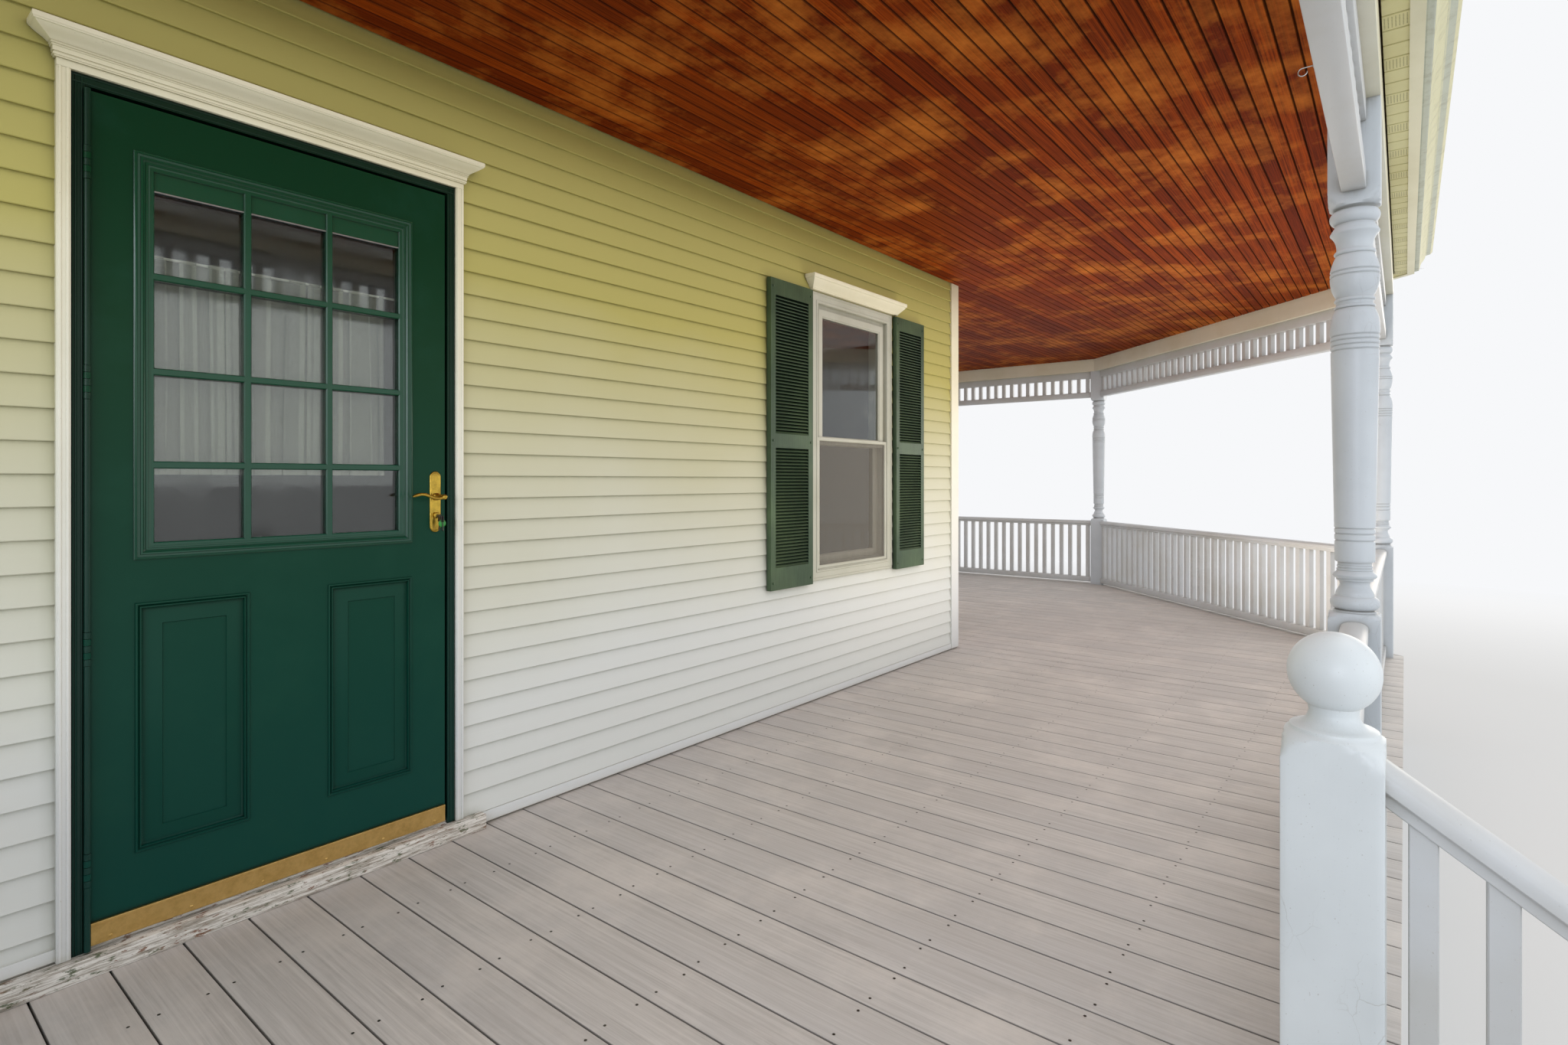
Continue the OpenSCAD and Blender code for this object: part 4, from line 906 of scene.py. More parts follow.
SWEEP = [(-4, 0), (-10.5, 0), (-12, 1.5), (-12.2, 4), (-11.6, 24), (-12.2, 44), (-12.4, 47), (-13, 48),
         (-13, 52.5), (-12, 54), (-4, 54)]
bm = bmesh.new()
extruded(bm, [(LEAF_X0 + 4, y, LEAF_Z0 + z) for y, z in SWEEP], (LEAF_X1 - LEAF_X0 - 8, 0, 0))
for i in range(6):
    stud(bm, (LEAF_X0 + 40 + 162 * i, -11.8, LEAF_Z0 + 12), 4.0, 1.6)
outwards(bm)
finish("kick_sweep", bm, "satin_brass", ["door_sweep"], "door", 25)

# Lever on its plate, with the keys in its lock
HANDLE = Vector((-3799, 0, FLOOR))


def circle(middle, radius, angles):
    """Points round a middle, in the upright plane across the door's face; angles in degrees."""
    return [middle + Vector((0, radius * math.cos(math.radians(a)), radius * math.sin(math.radians(a))))
            for a in angles]


bm = bmesh.new()
outline = [(HANDLE.x + 18 * math.cos(math.radians(a)), FLOOR + z + 18 * math.sin(math.radians(a)))
           for z, first in ((1022, 180), (1182, 0)) for a in range(first, first + 181, 15)]
plate = bm.faces.new([bm.verts.new((x, LEAF_FACE, z)) for x, z in outline])
stepped(bm, [plate], [(0.2, 4.4), (1.0, 1.6), (1.4, 0.5), (2.0, -0.3), (1.2, -0.8), (1.6, 0.5)])
bmesh.ops.delete(bm, geom=[face for face in bm.faces if face.normal.y > 0.5], context="FACES_ONLY")
made = bmesh.ops.extrude_edge_only(bm, edges=[edge for edge in bm.edges if edge.is_boundary])["geom"]
for vert in picked(made, bmesh.types.BMVert):
    vert.co.y = LEAF_MIDDLE
lever = bmesh.new()
pivot = HANDLE + Vector((0, -8, 1118))
shank = [(0, y, 0) for y in (0, -8, -10, -40, -46, -52, -57, -59)]
grip = [(1, -50, 0), (-8, -51, -2), (-20, -52, -4), (-34, -52, -2), (-48, -52, 3), (-62, -52, 8.5),
        (-74, -52, 10), (-86, -52, 8), (-95, -52, 5), (-101, -52, 3)]
for line, radii, sides in ((shank, (12, 12, 8, 7.5, 8, 8.5, 7.5, 4), 16),
                           (grip, (6.5, 6, 5.6, 5.2, 5, 4.8, 4.8, 5, 4.6, 2.5), 14)):
    rod(lever, [pivot + Vector(point) for point in line], radii, sides)
put(bm, lever)
doubled(bm, LEAF_MIDDLE)
rod(bm, [HANDLE + Vector((0, y, 1058)) for y in (-9, -15, -16)], (10, 10, 8.5), 20)
finish("lever_handle", bm, "brass", ["door_handle"], "door", 40)
bm = bmesh.new()
block(bm, HANDLE + Vector((-1, -34, 1053)), HANDLE + Vector((1.2, -13, 1062)), 0.4, 1)
for angle, drop in ((6, 0), (-9, 2)):
    key = bmesh.new()
    block(key, (-1, -11, -26), (1, 11, -6), 0.8, 2)
    block(key, (-0.9, -4, -54), (0.9, 4, -24), 0.4, 1)
    put(bm, key, Matrix.Translation(HANDLE + Vector((0.6 + 2.4 * drop, -33, 1064 - drop)))
        @ Matrix.Rotation(math.radians(angle), 4, "X"))
split_ring = circle(HANDLE + Vector((2, -34, 1054)), 8, [22.5 * i for i in range(17)])
rod(bm, split_ring, [0.9] * len(split_ring), 6)
finish("door_keys", bm, "steel", body="door")
bm = bmesh.new()
rod(bm, [HANDLE + Vector((5, y, 1033)) for y in (-36, -36.6, -38.4, -39)], (11, 12, 12, 11), 24)
finish("key_tag", bm, "green_tag", body="door")

# Curtain on a rod behind the glass, and behind it a dark blind: a sheet of painted shade that stands for the
# dark room
CURTAIN = (-4563, -3936, FLOOR + 1186, FLOOR + 1748)
CURTAIN_Y, HEM = 59, 20
FOLDS = {"folds": 10.0, "deep": 11.0, "bulge": 11.5, "columns": 400}


def folded_cloth(low_x, high_x, low_z, high_z, y, rows_up, columns, folds, deep, bulge=0.0):
    """A curtain that falls in soft upright folds: a grid whose points lean to and fro across its width;
    with bulge, in millimetres, each fold swells sideways over its neighbour as gathers do."""
    bm = bmesh.new()
    verts = bmesh.ops.create_grid(bm, x_segments=columns, y_segments=rows_up, size=0.5)["verts"]
    for vert in verts:
        u, z = vert.co.x + 0.5, low_z + (high_z - low_z) * (vert.co.y + 0.5)
        up = (z - FLOOR) / 400
        wander = u + 0.022 * math.sin(math.tau * 2.7 * u + 1) + 0.012 * math.sin(math.tau * 6.1 * u)
        phase = math.tau * folds * wander + 0.6 * math.sin(up + 9 * u)
        bend = (math.sin(phase) + 0.3 * math.sin(math.tau * folds * 0.37 * u + up)
                + 0.25 * math.sin(math.tau * folds * 2.3 * u)) * deep / 1.55
        side = -bulge * math.sin(2 * phase) * min(1, 12 * u, 12 * (1 - u))
        vert.co = (low_x + (high_x - low_x) * u + side, y + bend, z)
    outwards(bm)
    return bm


bm = folded_cloth(*CURTAIN, CURTAIN_Y, rows_up=12, **FOLDS)
curtain = finish("sheer_door_curtain", bm, "sheer", body="door", smooth=180)
bm = folded_cloth(*CURTAIN[:3], CURTAIN[2] + HEM, CURTAIN_Y - 0.8, rows_up=2, **FOLDS)
hem = finish("curtain_hem", bm, "hem", body="door", smooth=180)
bm = bmesh.new()
ROD_Z = CURTAIN[3] - 5
rod(bm, [(x, CURTAIN_Y, ROD_Z) for x in (CURTAIN[0] - 6, LITE_X1)], (3.5, 3.5), 10)
for x in (CURTAIN[0] - 3, LITE_X1 - 3):
    rod(bm, [(x, y, ROD_Z) for y in (40, CURTAIN_Y)], (4.5, 4.5), 10)
finish("curtain_rod", bm, "white_rod", body="door")

# Door frame, casing and sill
ROUGH_X0, ROUGH_X1, ROUGH_TOP = -4688, -3732, FLOOR + 2134
SILL_FRONT, SILL_Z = -38, FLOOR + 50
CASING, CASING_Y = 26, (-14, 12)
CROWN_Z = ROUGH_TOP + 18
# Moulded crowns: how far out they reach at each height
DOOR_CROWN = [(0, 18), (3, 18), (3.6, 20.5), (8, 20.5), (8.6, 18.5), (11, 18.5), (11.6, 21.5), (22, 21.5),
              (22.6, 24), (24, 24.6), (25, 22.6), (26.5, 22.6), (27.5, 25.4), (29, 26), (30, 24.2),
              (31.5, 24.2), (33, 28), (36, 31), (40, 36), (44, 42.5), (48, 49), (52, 54), (55, 56.5),
              (56, 59.5), (58, 60), (60, 62), (70, 62), (72, 60.5)]
WINDOW_CROWN = [(0, 18), (2, 20), (6, 20.5), (7, 23), (12, 26), (20, 32.5), (30, 42), (40, 50.5), (47, 55),
                (50, 56), (51, 59.5), (54, 61), (58, 62), (70, 62), (72, 60)]
bm = bmesh.new()
for x0 in (ROUGH_X0 - CASING, ROUGH_X1):
    block(bm, (x0, CASING_Y[0], SILL_Z), (x0 + CASING, CASING_Y[1], ROUGH_TOP), 1.5)
    for x in (x0 + 3, x0 + CASING - 9):
        block(bm, (x, CASING_Y[0] - 2, SILL_Z + 2), (x + 6, CASING_Y[0] + 2, ROUGH_TOP), 1.8, 3)
block(bm, (ROUGH_X0 - CASING, CASING_Y[0], ROUGH_TOP), (ROUGH_X1 + CASING, CASING_Y[1], CROWN_Z), 1.5)
crown(bm, ROUGH_X0 - CASING - 48, ROUGH_X1 + CASING + 48, CROWN_Z, DOOR_CROWN)
finish("door_casing_and_crown", bm, "trim_vinyl", ["door_trim"], smooth=28)

JAMB = 26
HINGE_X, HINGE_Y = LEAF_X0 - 3, LEAF_FACE - 9
HINGE_ROWS, HINGE_TALL = [FLOOR + z for z in (208, 732, 1364, 1885)], 79
bm = bmesh.new()
beads = [((x + along, SILL_Z + 2), (x + along, ROUGH_TOP - 8))
         for x in (ROUGH_X0, ROUGH_X1 - JAMB) for along in (4, 10, JAMB - 5)]
beads += [((ROUGH_X0 + 2, ROUGH_TOP - drop), (ROUGH_X1 - 2, ROUGH_TOP - drop)) for drop in (6, JAMB - 5)]
for ends in beads:
    rod(bm, [(x, -4, z) for x, z in ends], (2.2, 2.2), 8)
stops = [LEAF_Z0 - 8, *(z for row in HINGE_ROWS for z in (row - 1, row + HINGE_TALL + 1)), LEAF_Z1]
for z0, z1 in zip(stops[::2], stops[1::2]):
    rod(bm, [(HINGE_X, HINGE_Y, z0), (HINGE_X, HINGE_Y, z1)], (6.4, 6.4), 20)
    block(bm, (HINGE_X - 5.4, HINGE_Y + 1, z0), (HINGE_X - 2.6, HINGE_Y + 10, z1), 0.5, 1)
finish("frame_beads", bm, "frame", smooth=40)

bm = bmesh.new()
for x0, x1 in ((-4878, -3638), (-5285, -4880)):
    block(bm, (x0, SILL_FRONT, FLOOR), (x1, -2, SILL_Z), 2.5, 2)
block(bm, (ROUGH_X0, -2, FLOOR), (ROUGH_X1, WALL_DEEP, SILL_Z), 1.5)
block(bm, (ROUGH_X0 + JAMB, 4, SILL_Z - 2), (ROUGH_X1 - JAMB, 44, SILL_Z + 9), 3, 3)
finish("weathered_door_sill", bm, "sill", ["door_sill"], smooth=30)

# Window and shutters
WIN_X0, WIN_X1, WIN_Z0, WIN_Z1 = -1732, -904, FLOOR + 636, FLOOR + 2175
WIN_MIDDLE = FLOOR + 1385


def pane_frame(bm, inset, low_z, high_z, y0, y1, steps):
    """Frame of a sash or of the screen, as wide as the window less the inset at each side."""
    part = bmesh.new()
    face = upright(part, (WIN_X0 + inset, low_z), (WIN_X1 - inset, high_z), y0 + 1)
    stepped(part, [face], [(1, 1), *steps])
    opened(part, [face], y1)
    rim_back(part, y1)
    closed_back(part)
    put(bm, part)


bm = bmesh.new()
casing = upright(bm, (WIN_X0, WIN_Z0), (WIN_X1, WIN_Z1), -2)
stepped(bm, [casing], [(1, 12), (3, 2), (9, 0), (3, -4), (27, 0), (3, 4), (9, 0), (3, -4), (0.5, -22),
                       (29.5, 0), (0.5, -50)])
opened(bm, [casing], WALL_DEEP)
rim_back(bm, 12)
rim_back(bm, WALL_DEEP, 20)
closed_back(bm)
for inset, low_z, high_z, y0, y1, stile in (
        (82, WIN_MIDDLE - 20, WIN_Z1 - 82, 12, 44, 44), (84, WIN_Z0 + 84, WIN_MIDDLE + 22, 45, 76, 46)):
    pane_frame(bm, inset, low_z, high_z, y0, y1, [(stile - 9, 0), (1, -1.5), (7, -5)])
block(bm, (WIN_X0 + 58, -8, WIN_Z0 + 56), (WIN_X1 - 58, 11, WIN_Z0 + 60), 1, 1)
finish("window_frame_and_sashes", bm, "window_vinyl", ["window_frame"], smooth=28)
bm = bmesh.new()
crown(bm, WIN_X0 - 56, WIN_X1 + 84, WIN_Z1 + 4, WINDOW_CROWN)
finish("window_crown", bm, "trim_vinyl", ["window_trim"], smooth=28)
bm = bmesh.new()
for inset, low_z, high_z, y in ((118, WIN_MIDDLE + 14, WIN_Z1 - 118, 26),
                                (122, WIN_Z0 + 122, WIN_MIDDLE - 16, 58)):
    block(bm, (WIN_X0 + inset, y, low_z), (WIN_X1 - inset, y + 4, high_z), 0.4, 1)
finish("window_panes", bm, "glass", ["window_glass"], smooth=0)
bm = bmesh.new()
pane_frame(bm, 60, WIN_Z0 + 60, WIN_MIDDLE + 16, 0, 9, [(14, 0), (1, -1), (3, -3)])
finish("screen_frame", bm, "window_vinyl", ["window_screen"], smooth=28)
MESH_IN = 76
bm = bmesh.new()
upright(bm, (WIN_X0 + MESH_IN, WIN_Z0 + MESH_IN), (WIN_X1 - MESH_IN, WIN_MIDDLE), 6)
screen_mesh = finish("insect_screen_mesh", bm, "screen", smooth=0)
# Dark blinds behind the window and door glass stand for the dark room beyond: sheets of painted shade
WINDOW_BLIND = (WIN_X0 + 60, WIN_X1 - 60, WIN_Z0 + 40, WIN_Z1 - 40)
DOOR_BLIND, DOOR_BLIND_Y = (LITE_X0 + 2, LITE_X1 - 2, LITE_Z0 + 6, LITE_Z1 - 6), 84
for name, place, y, body, holder in (
        ("window_room_shade_sheet", WINDOW_BLIND, 112, "root", "window_frame_and_sashes"),
        ("door_room_shade_sheet", DOOR_BLIND, DOOR_BLIND_Y, "door", "door_blind_roller")):
    bm = folded_cloth(*place, y, rows_up=24, columns=24, folds=1.0, deep=0.8)
    blind = finish(name, bm, "shade", body=body, smooth=180)
bm = bmesh.new()
rod(bm, [(x, DOOR_BLIND_Y, DOOR_BLIND[3]) for x in (DOOR_BLIND[0] - 2, DOOR_BLIND[1] + 2)], (7, 7), 12)
for x in DOOR_BLIND[:2]:
    block(bm, (x - 3, 39, DOOR_BLIND[3] - 10), (x + 3, 92, DOOR_BLIND[3] + 10), 1, 1)
finish("door_blind_roller", bm, "trim_vinyl", body="door")

SHUTTER_W, SHUTTER_H, STILE, SHUTTER_Z = 350, 1541, 38, FLOOR + 627
LOUVRE_PITCH = 16.5
FIELDS = [(SHUTTER_Z + low, SHUTTER_Z + high) for low, high in ((110, 705), (775, 1461))]
bm = bmesh.new()
for x in (-2108, -892):
    part = bmesh.new()
    face = upright(part, (x, SHUTTER_Z), (x + SHUTTER_W, SHUTTER_Z + SHUTTER_H), -28.5)
    stepped(part, [face], [(1.5, 1.5)])
    rows = split(part, [face], 2, [z for pair in FIELDS for z in pair])
    inner = (x + STILE, x + SHUTTER_W - STILE)
    for pair in FIELDS:
        row = split(part, within(rows, 2, *pair), 0, inner)
        stepped(part, within(row, 0, *inner), [(1.2, -1.2), (0.8, -17)])
    rim_back(part, -1)
    bmesh.ops.contextual_create(part, geom=[edge for edge in part.edges if edge.is_boundary])
    for low, high in FIELDS:
        number = round((high - low - 4) / LOUVRE_PITCH)
        pitch = (high - low - 4) / number
        louvre = ((-11, 0.5), (-26.6, 0.4), (-27.4, 2.6), (-26.4, 4.2), (-11, pitch + 1.5))
        for i in range(number):
            extruded(part, [(inner[0] + 1, y, low + 2 + i * pitch + up) for y, up in louvre],
                     (SHUTTER_W - 2 * STILE - 2, 0, 0))
    outwards(part)
    for screw_z in (36, 740, SHUTTER_H - 40):
        for screw_x in (19, SHUTTER_W - 19):
            stud(part, (x + screw_x, -30, SHUTTER_Z + screw_z), 6, 2.6)
    put(bm, part)
finish("louvred_shutters", bm, "shutter", ["shutters"], smooth=28)


# Roof
ROOF_SLOPE = 0.3333
EAVE, EAVE_OUT, OVERHANG = 3245, 180, 200
COURSE, TAB, TAB_GAP, COURSES = 135.7, 305, 6, 20
UNDERLAY = (0.5, 4)
SHINGLE, HEAD, BUTT = 3, 5.2, 10.5  # height of a shingle's underside, its head and its butt
PEAK, APEX, WALL_HIP = Vector((480, 170.5, 0)), Vector((2388, 961, 0)), Vector((-2985, 0, 0))
CORNERS = [Vector((*point, 0)) for point in ring(0)]


def roof_top(point):
    """Height of the roof's boards at a plan point: the lowest of the five slopes there."""
    deep = min((Vector(point).xy.to_3d() - CORNERS[i]).dot(inward(i)) for i in range(5))
    return EAVE + (deep + EAVE_OUT) * ROOF_SLOPE


def hip(i, j, point):
    """The upright plane through a hip: what lies past it belongs to slope j and not to slope i."""
    return point, inward(i) - inward(j)


PAST_WALL, PAST_CORNER, PAST_SIDE = [(Vector(), Vector(normal))
                                     for normal in ((0, 1, 0), (1, 0, 0), (-1, 0, 0))]
# Each slope: its open side, where it starts and ends along that side, and the planes that bound it
SLOPES = [(0, 0, 2540, (hip(0, 1, CORNERS[1]), PAST_WALL)),
          (1, -200, 5325, (hip(1, 0, CORNERS[1]), PAST_WALL, PAST_CORNER)),
          (1, 5321, 6930, (hip(1, 2, CORNERS[2]), hip(1, 4, PEAK), PAST_SIDE)),
          (2, -90, 3750, (hip(2, 1, CORNERS[2]), hip(2, 3, CORNERS[3]), hip(2, 4, PEAK))),
          (3, -90, 2640, (hip(3, 2, CORNERS[3]), hip(3, 4, CORNERS[4]))),
          (4, -200, 4110, (hip(4, 3, CORNERS[4]), hip(4, 2, PEAK), hip(4, 1, PEAK), PAST_SIDE))]
roof = bmesh.new()
for side, x_start, x_end, planes in SLOPES:
    slope = bmesh.new()
    block(slope, (x_start, -OVERHANG, UNDERLAY[0]), (x_end, 2530, UNDERLAY[1]))
    for course in range(COURSES):
        y = course * COURSE - OVERHANG
        top = y + COURSE + 3
        x = x_start - TAB / 2 * (course % 2) + random.uniform(-12, 12)
        while x < x_end:
            butt = BUTT + random.uniform(-0.8, 0.8)
            wide = min(TAB - TAB_GAP, x_end - x)
            if wide > 8:
                section = ((y, SHINGLE), (y, butt), (top, HEAD), (top, SHINGLE))
                extruded(slope, [(x, *point) for point in section], (wide, 0, 0))
            x += TAB
    outwards(slope)
    for vert in slope.verts:
        vert.co.z += EAVE + (vert.co.y + EAVE_OUT) * ROOF_SLOPE
    slope.transform(heading(*side_ends(side)))
    for point, past in planes:
        cut(slope, point, past)
    put(roof, slope)

CAP_WIDE, CAP_LONG, CAP_THICK = 125, 143, 3.5
EAVES = [Vector((*point, 0)) for point in ring(OVERHANG)]
HIPS = [(EAVES[1], WALL_HIP), (EAVES[2], PEAK), (EAVES[3], APEX), (EAVES[4], APEX), (APEX, PEAK),
        (PEAK, Vector((0, PEAK.y, 0)))]


def over_roof(point, lift):
    """A point over the roof's boards."""
    return Vector((*point.xy, roof_top(point) + lift))


# Caps over the hips, each lapping the next one down
for low, high in HIPS:
    ahead = (high - low).normalized()
    across = ahead.cross(Vector((0, 0, 1)))
    length = (high - low).length
    caps = bmesh.new()
    for i in range(math.ceil(length / CAP_LONG)):
        stations = ((i * CAP_LONG, 16.5), (min((i + 1) * CAP_LONG + 24, length - 4), 10.5))
        quads(caps, *([caps.verts.new(over_roof(low + ahead * at + across * out, lift))
                          for out in (-CAP_WIDE, -8, 8, CAP_WIDE)] for at, lift in stations))
    outwards(caps)
    bmesh.ops.reverse_faces(caps, faces=[face for face in caps.faces if face.normal.z < 0])
    bmesh.ops.solidify(caps, geom=caps.faces, thickness=CAP_THICK)
    outwards(caps)
    for i in range(5):
        cut(caps, CORNERS[i] - inward(i) * (OVERHANG + 2), -inward(i))
    if high.x < 0:
        cut(caps, *PAST_WALL)
    elif high.x == 0:
        cut(caps, *PAST_SIDE)
    put(roof, caps)
finish("tab_shingles_and_hips", roof, "shingle", ["roof_shingles"], smooth=0)

# Metal flashing folded against the two walls
FLASH, FLASH_LIFT = 60, 14
bm = bmesh.new()
for away, line in ((Vector((0, -1, 0)), (Vector((LEFT - OVERHANG, 0, 0)), WALL_HIP, Vector())),
                   (Vector((1, 0, 0)), (Vector(), Vector((0, PEAK.y, 0)), Vector((0, BACK + OVERHANG, 0))))):
    for ends in zip(line, line[1:]):
        feet = [end + away * 1.5 for end in ends]
        quads(bm, *([bm.verts.new(point) for point in (
            over_roof(foot + away * FLASH, FLASH_LIFT), over_roof(foot, FLASH_LIFT),
            over_roof(foot, FLASH_LIFT + FLASH))] for foot in feet))
bmesh.ops.remove_doubles(bm, verts=bm.verts, dist=0.01)
outwards(bm)
bmesh.ops.solidify(bm, geom=bm.faces, thickness=1.0)
outwards(bm)
finish("wall_flashing", bm, "aluminium", smooth=0)


def mitred(bm, i):
    """Cuts what was drawn along open side i where it meets its neighbours, at a mitre through each
    corner."""
    along = CORNERS[i + 1] - CORNERS[i]
    for j, away in ((i, -1), (i + 1, 1)):
        outer = Vector((*ring(100)[j], 0))
        normal = (outer - CORNERS[j]).cross(Vector((0, 0, 1))).normalized()
        if normal.dot(along) * away < 0:
            normal.negate()
        cut(bm, CORNERS[j], normal)


# Soffit of pressed panels: three pans to a panel, the middle one with rows of air holes, drawn as dark discs
# of painted shade
SOFFIT, SOFFIT_Y0, SOFFIT_Y1, PAN = 3105, -142, -76, 101.6
PAN_SECTION = ((0, 9), (0, 5.5), (2.6, 5), (5, 0.4), (96.6, 0.4), (99, 5), (PAN, 5.5), (PAN, 9))
pans, holes = bmesh.new(), bmesh.new()
for i in range(5):
    ends = side_ends(i)
    run, dots = bmesh.new(), bmesh.new()
    for k in range(-2, round(span(*ends) / PAN) + 2):
        x = k * PAN
        extruded(run, [(x + along, SOFFIT_Y0, SOFFIT + up) for along, up in PAN_SECTION],
                 (0, SOFFIT_Y1 - SOFFIT_Y0, 0))
        if k % 3 == 1:
            for column in range(7):
                for row in range(11):
                    disc(dots, (x + 18 + 6.5 * row, SOFFIT_Y0 + 6 + 9 * column, SOFFIT + 0.2), 1.6, 6)
    outwards(run)
    bmesh.ops.reverse_faces(dots, faces=dots.faces)
    run.transform(heading(*ends))
    mitred(run, i)
    put(pans, run)
    put(holes, dots, heading(*ends))
finish("soffit_pans", pans, "soffit", ["soffit"], smooth=0)
finish("soffit_air_holes", holes, "vent", smooth=0)

# Stair treads of two boards each
STAIR_X0, STAIR_X1 = LEFT + HALF, NEWEL[0] - HALF
TREAD_THICK = 30
bm, heads = bmesh.new(), bmesh.new()
for i in (1, 2):
    edge, top = FRONT - DECK_OUT - 26 - i * GOING, FLOOR - i * RISE
    for y in (edge, edge + TREAD_BOARD + TREAD_GAP):
        block(bm, (STAIR_X0 + 1, y, top - TREAD_THICK), (STAIR_X1 - 1, y + TREAD_BOARD, top), 4, 3)
    for x in (STAIR_X0 + 39, (STAIR_X0 + STAIR_X1) / 2, STAIR_X1 - 39):
        for deep in (26, 112, 176, 262):
            disc(heads, (x, edge + deep, top + 0.25), 3.8)
finish("tread_boards", bm, "tread", ["stair_treads"])
finish("tread_screw_heads", heads, "steel", smooth=0)

# Trim on the room side of the walls
ROOM_X, CASE_IN = -150, 64


def room_board(bm, x0, x1, z0, z1, proud, ease=2.5, behind=0, steps=2):
    """A board on the room face of the front wall."""
    block(bm, (x0, WALL_DEEP - behind, z0), (x1, WALL_DEEP + proud, z1), ease, steps)


bm = bmesh.new()
for x0, x1, z0, z1, stool in ((ROUGH_X0 + 20, ROUGH_X1 - 20, SILL_Z, ROUGH_TOP - 20, False),
                              (WIN_X0 + 42, WIN_X1 - 42, WIN_Z0 + 42, WIN_Z1 - 42, True)):
    out0, out1 = x0 - CASE_IN, x1 + CASE_IN
    for left in (out0, x1):
        room_board(bm, left, left + CASE_IN, z0, z1, 16)
        room_board(bm, left + 10, left + CASE_IN - 10, z0, z1 + 10, 19, behind=-15)
    room_board(bm, out0 - 12, out1 + 12, z1, z1 + 72, 18)
    room_board(bm, out0 - 20, out1 + 20, z1 + 72, z1 + 88, 34, 4)
    if stool:
        room_board(bm, out0 - 20, out1 + 20, z0 - 22, z0, 44, 5, 40, 3)
        room_board(bm, out0, out1, z0 - 84, z0 - 22, 14)
BASE_BOARD = (SILL_Z, SILL_Z + 110, 14, 3)
room_board(bm, LEFT - 272, ROUGH_X0 + 20 - CASE_IN, *BASE_BOARD)
room_board(bm, ROUGH_X1 - 20 + CASE_IN, ROOM_X, *BASE_BOARD)
block(bm, (ROOM_X - 14, WALL_DEEP, BASE_BOARD[0]), (ROOM_X, BACK + 272, BASE_BOARD[1]), 3)
finish("room_side_trim", bm, "room_paint", smooth=30)

# Cup hook in the frieze over the stair
HOOK = Vector((-2950, -2305, FLOOR + 2118))
bm = bmesh.new()
wire = [HOOK + Vector((0, y, 0)) for y in (-4, 3, 12)]
wire += circle(HOOK + Vector((0, 22, -9)), 9, range(90, -181, -18))
rod(bm, wire, [1.3] * len(wire), 8)
rod(bm, [HOOK + Vector((0, y, 0)) for y in (-1, 1.5, 2.5)], (4.5, 4.5, 2.5), 12)
finish("cup_hook", bm, "aluminium", smooth=40)

# Finishes of the carried solids
CARRIED = {
    "concrete": ("piers", "foundation"), "lumber": ("floor_frame",),
    "post_paint": ("skirt", "stair_stringers"),
    "beam_paint": ("front_beam", "corner_beam", "side_beam", "end_beams"),
    "trim_vinyl": ("fascia", "corner_trim", "base_trim"), "gutter": ("gutter",), "lumber_up": ("roof_deck",),
    "wall": ("wall_left", "wall_over_door", "wall_right", "side_wall"),
    "siding": ("siding",), "frame": ("door_frame", "frame_hinge_leaves"),
    "door": ("door_hinge_leaves",), "glass": ("door_glazing",)}
for look, names in CARRIED.items():
    for name in names:
        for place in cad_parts[name].material_slots:
            place.material = FINISH[look]

# Camera, light and stage
scene = bpy.context.scene
camera_data = bpy.data.cameras.new("camera")
camera = bpy.data.objects.new("camera", camera_data)
scene.collection.objects.link(camera)
scene.camera = camera
EYE, TURN = Vector((-5118, -2468, FLOOR + 1172)), 51.92
camera_data.sensor_width = 36
camera_data.lens = 18.19
camera_data.shift_y = -0.0271
camera_data.clip_start = 0.02
camera.location = HOUSE + EYE * MM
camera.rotation_euler = (math.radians(90), 0, -math.radians(TURN))


def lamp(name, at, aim, size, power, tint="#FFFFFF", mirrored=True):
    """A soft rectangular light, in metres and watts, that the camera doesn't see."""
    data = bpy.data.lights.new(name, "AREA")
    data.shape = "RECTANGLE"
    data.size, data.size_y = size
    data.energy = power
    data.color = linear(tint)[:3]
    made = bpy.data.objects.new(name, data)
    scene.collection.objects.link(made)
    made.location = at
    made.rotation_euler = (Vector(aim) - Vector(at)).to_track_quat("-Z", "Y").to_euler()
    made.visible_camera = False
    made.visible_glossy = mirrored


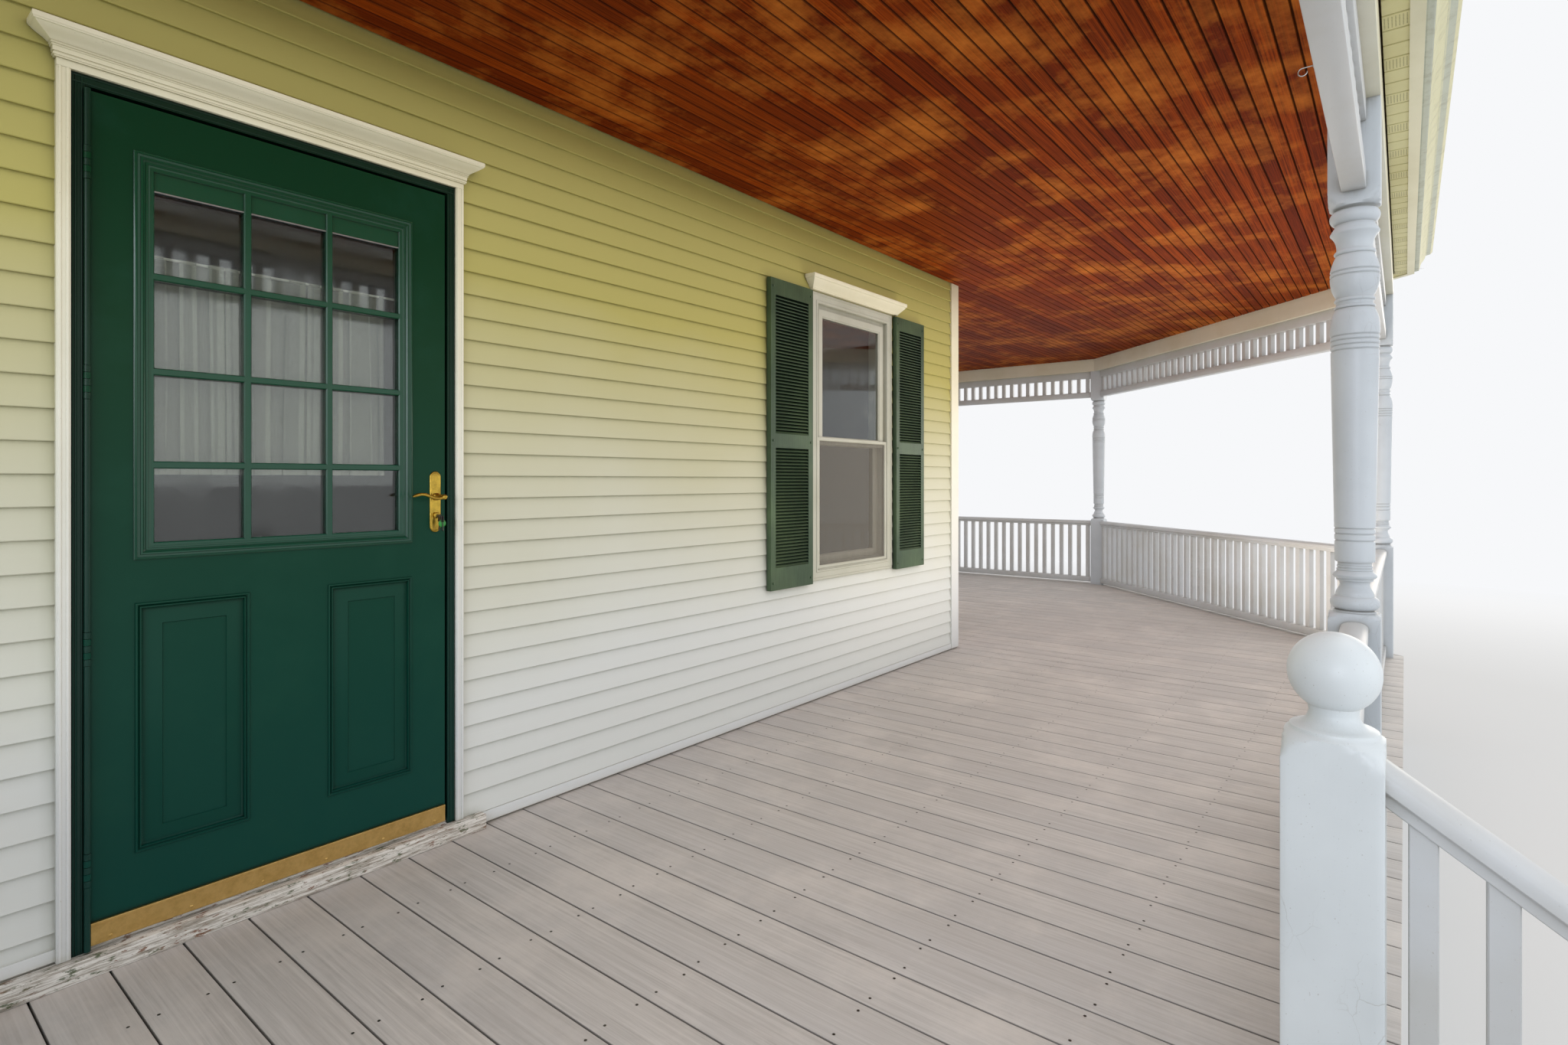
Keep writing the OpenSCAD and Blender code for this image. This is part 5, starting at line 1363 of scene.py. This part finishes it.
# Two broad windows and a skylight, and low fill under the porch roof, which shades itself
lamp("front_window", (-3.0, -12.0, 3.6), (-1.0, 0.0, 1.7), (14, 4), 360, mirrored=False)
lamp("side_window", (12.0, -4.0, 3.6), (1.0, 0.0, 1.4), (6, 4), 185, "#FFF6E8")
lamp("sky_window", (2.0, -4.0, 13.0), (0.0, 0.0, 0.0), (10, 10), 250)
lamp("stair_window", HOUSE + Vector((-12.5, -4.2, 3.6)), HOUSE + Vector((-3.9, -0.6, 1.5)), (5, 4), 270,
     "#E9F1FF")
UNDER, OVER = CEILING * MM - 0.06, FLOOR * MM + 0.02
for name, x, y, size, power in (("front_fill", -1.9, -1.2, (6.6, 2.0), 38),
                                ("side_fill", 2.1, 1.1, (2.2, 2.6), 18)):
    lamp(name, HOUSE + Vector((x, y, UNDER)), HOUSE + Vector((x, y, 0)), size, power, mirrored=False)
lamp("deck_bounce", HOUSE + Vector((0.1, -1.45, OVER)), HOUSE + Vector((0.1, -1.45, 3.0)), (3.0, 1.0), 42,
     "#FFF3E6", mirrored=False)


def looked_at(add):
    """1 for what the camera sees, straight or through glass or in a gloss, and 0 for what only lights."""
    rays = add("LightPath").outputs
    glossy = add("Math", operation="MAXIMUM", i0=rays["Is Glossy Ray"], i1=rays["Is Transmission Ray"])
    return add("Math", operation="MAXIMUM", i0=rays["Is Camera Ray"], i1=glossy)


world = bpy.data.worlds.new("studio")
scene.world = world
world.use_nodes = True
add = partial(node, world.node_tree)
level = add("MapRange", Value=looked_at(add), i3=0.62, i4=1.0)
join(world.node_tree.nodes["Background"], Color="#F7F8FA", Strength=level)
scene.view_settings.view_transform = "Standard"

bm = bmesh.new()
bmesh.ops.create_grid(bm, x_segments=1, y_segments=1, size=60)
floor_mesh = bpy.data.meshes.new("studio_floor")
bm.to_mesh(floor_mesh)
bm.free()
studio_floor = bpy.data.objects.new("studio_floor", floor_mesh)
scene.collection.objects.link(studio_floor)
studio_floor.location.z = -0.001
# Far off, the floor turns into the backdrop, so that no horizon shows; near the object it keeps its shadow
material, add, place = start("pale_studio_floor", 0.9, Base_Color="#DADAD8")
nodes = material.node_tree.nodes
distance = add("VectorMath", operation="LENGTH", i0=place)
far_share = add("MapRange", Value=distance, i1=5.5, i2=13.0, i3=0.3, i4=1.0)
share = add("Math", operation="MULTIPLY", i0=far_share, i1=looked_at(add))
glow = add("Emission", Color="#F7F8FA", Strength=1.0)
join(nodes["Material Output"], Surface=add("MixShader", i0=share, i1=nodes["Principled BSDF"], i2=glow))
floor_mesh.materials.append(material)
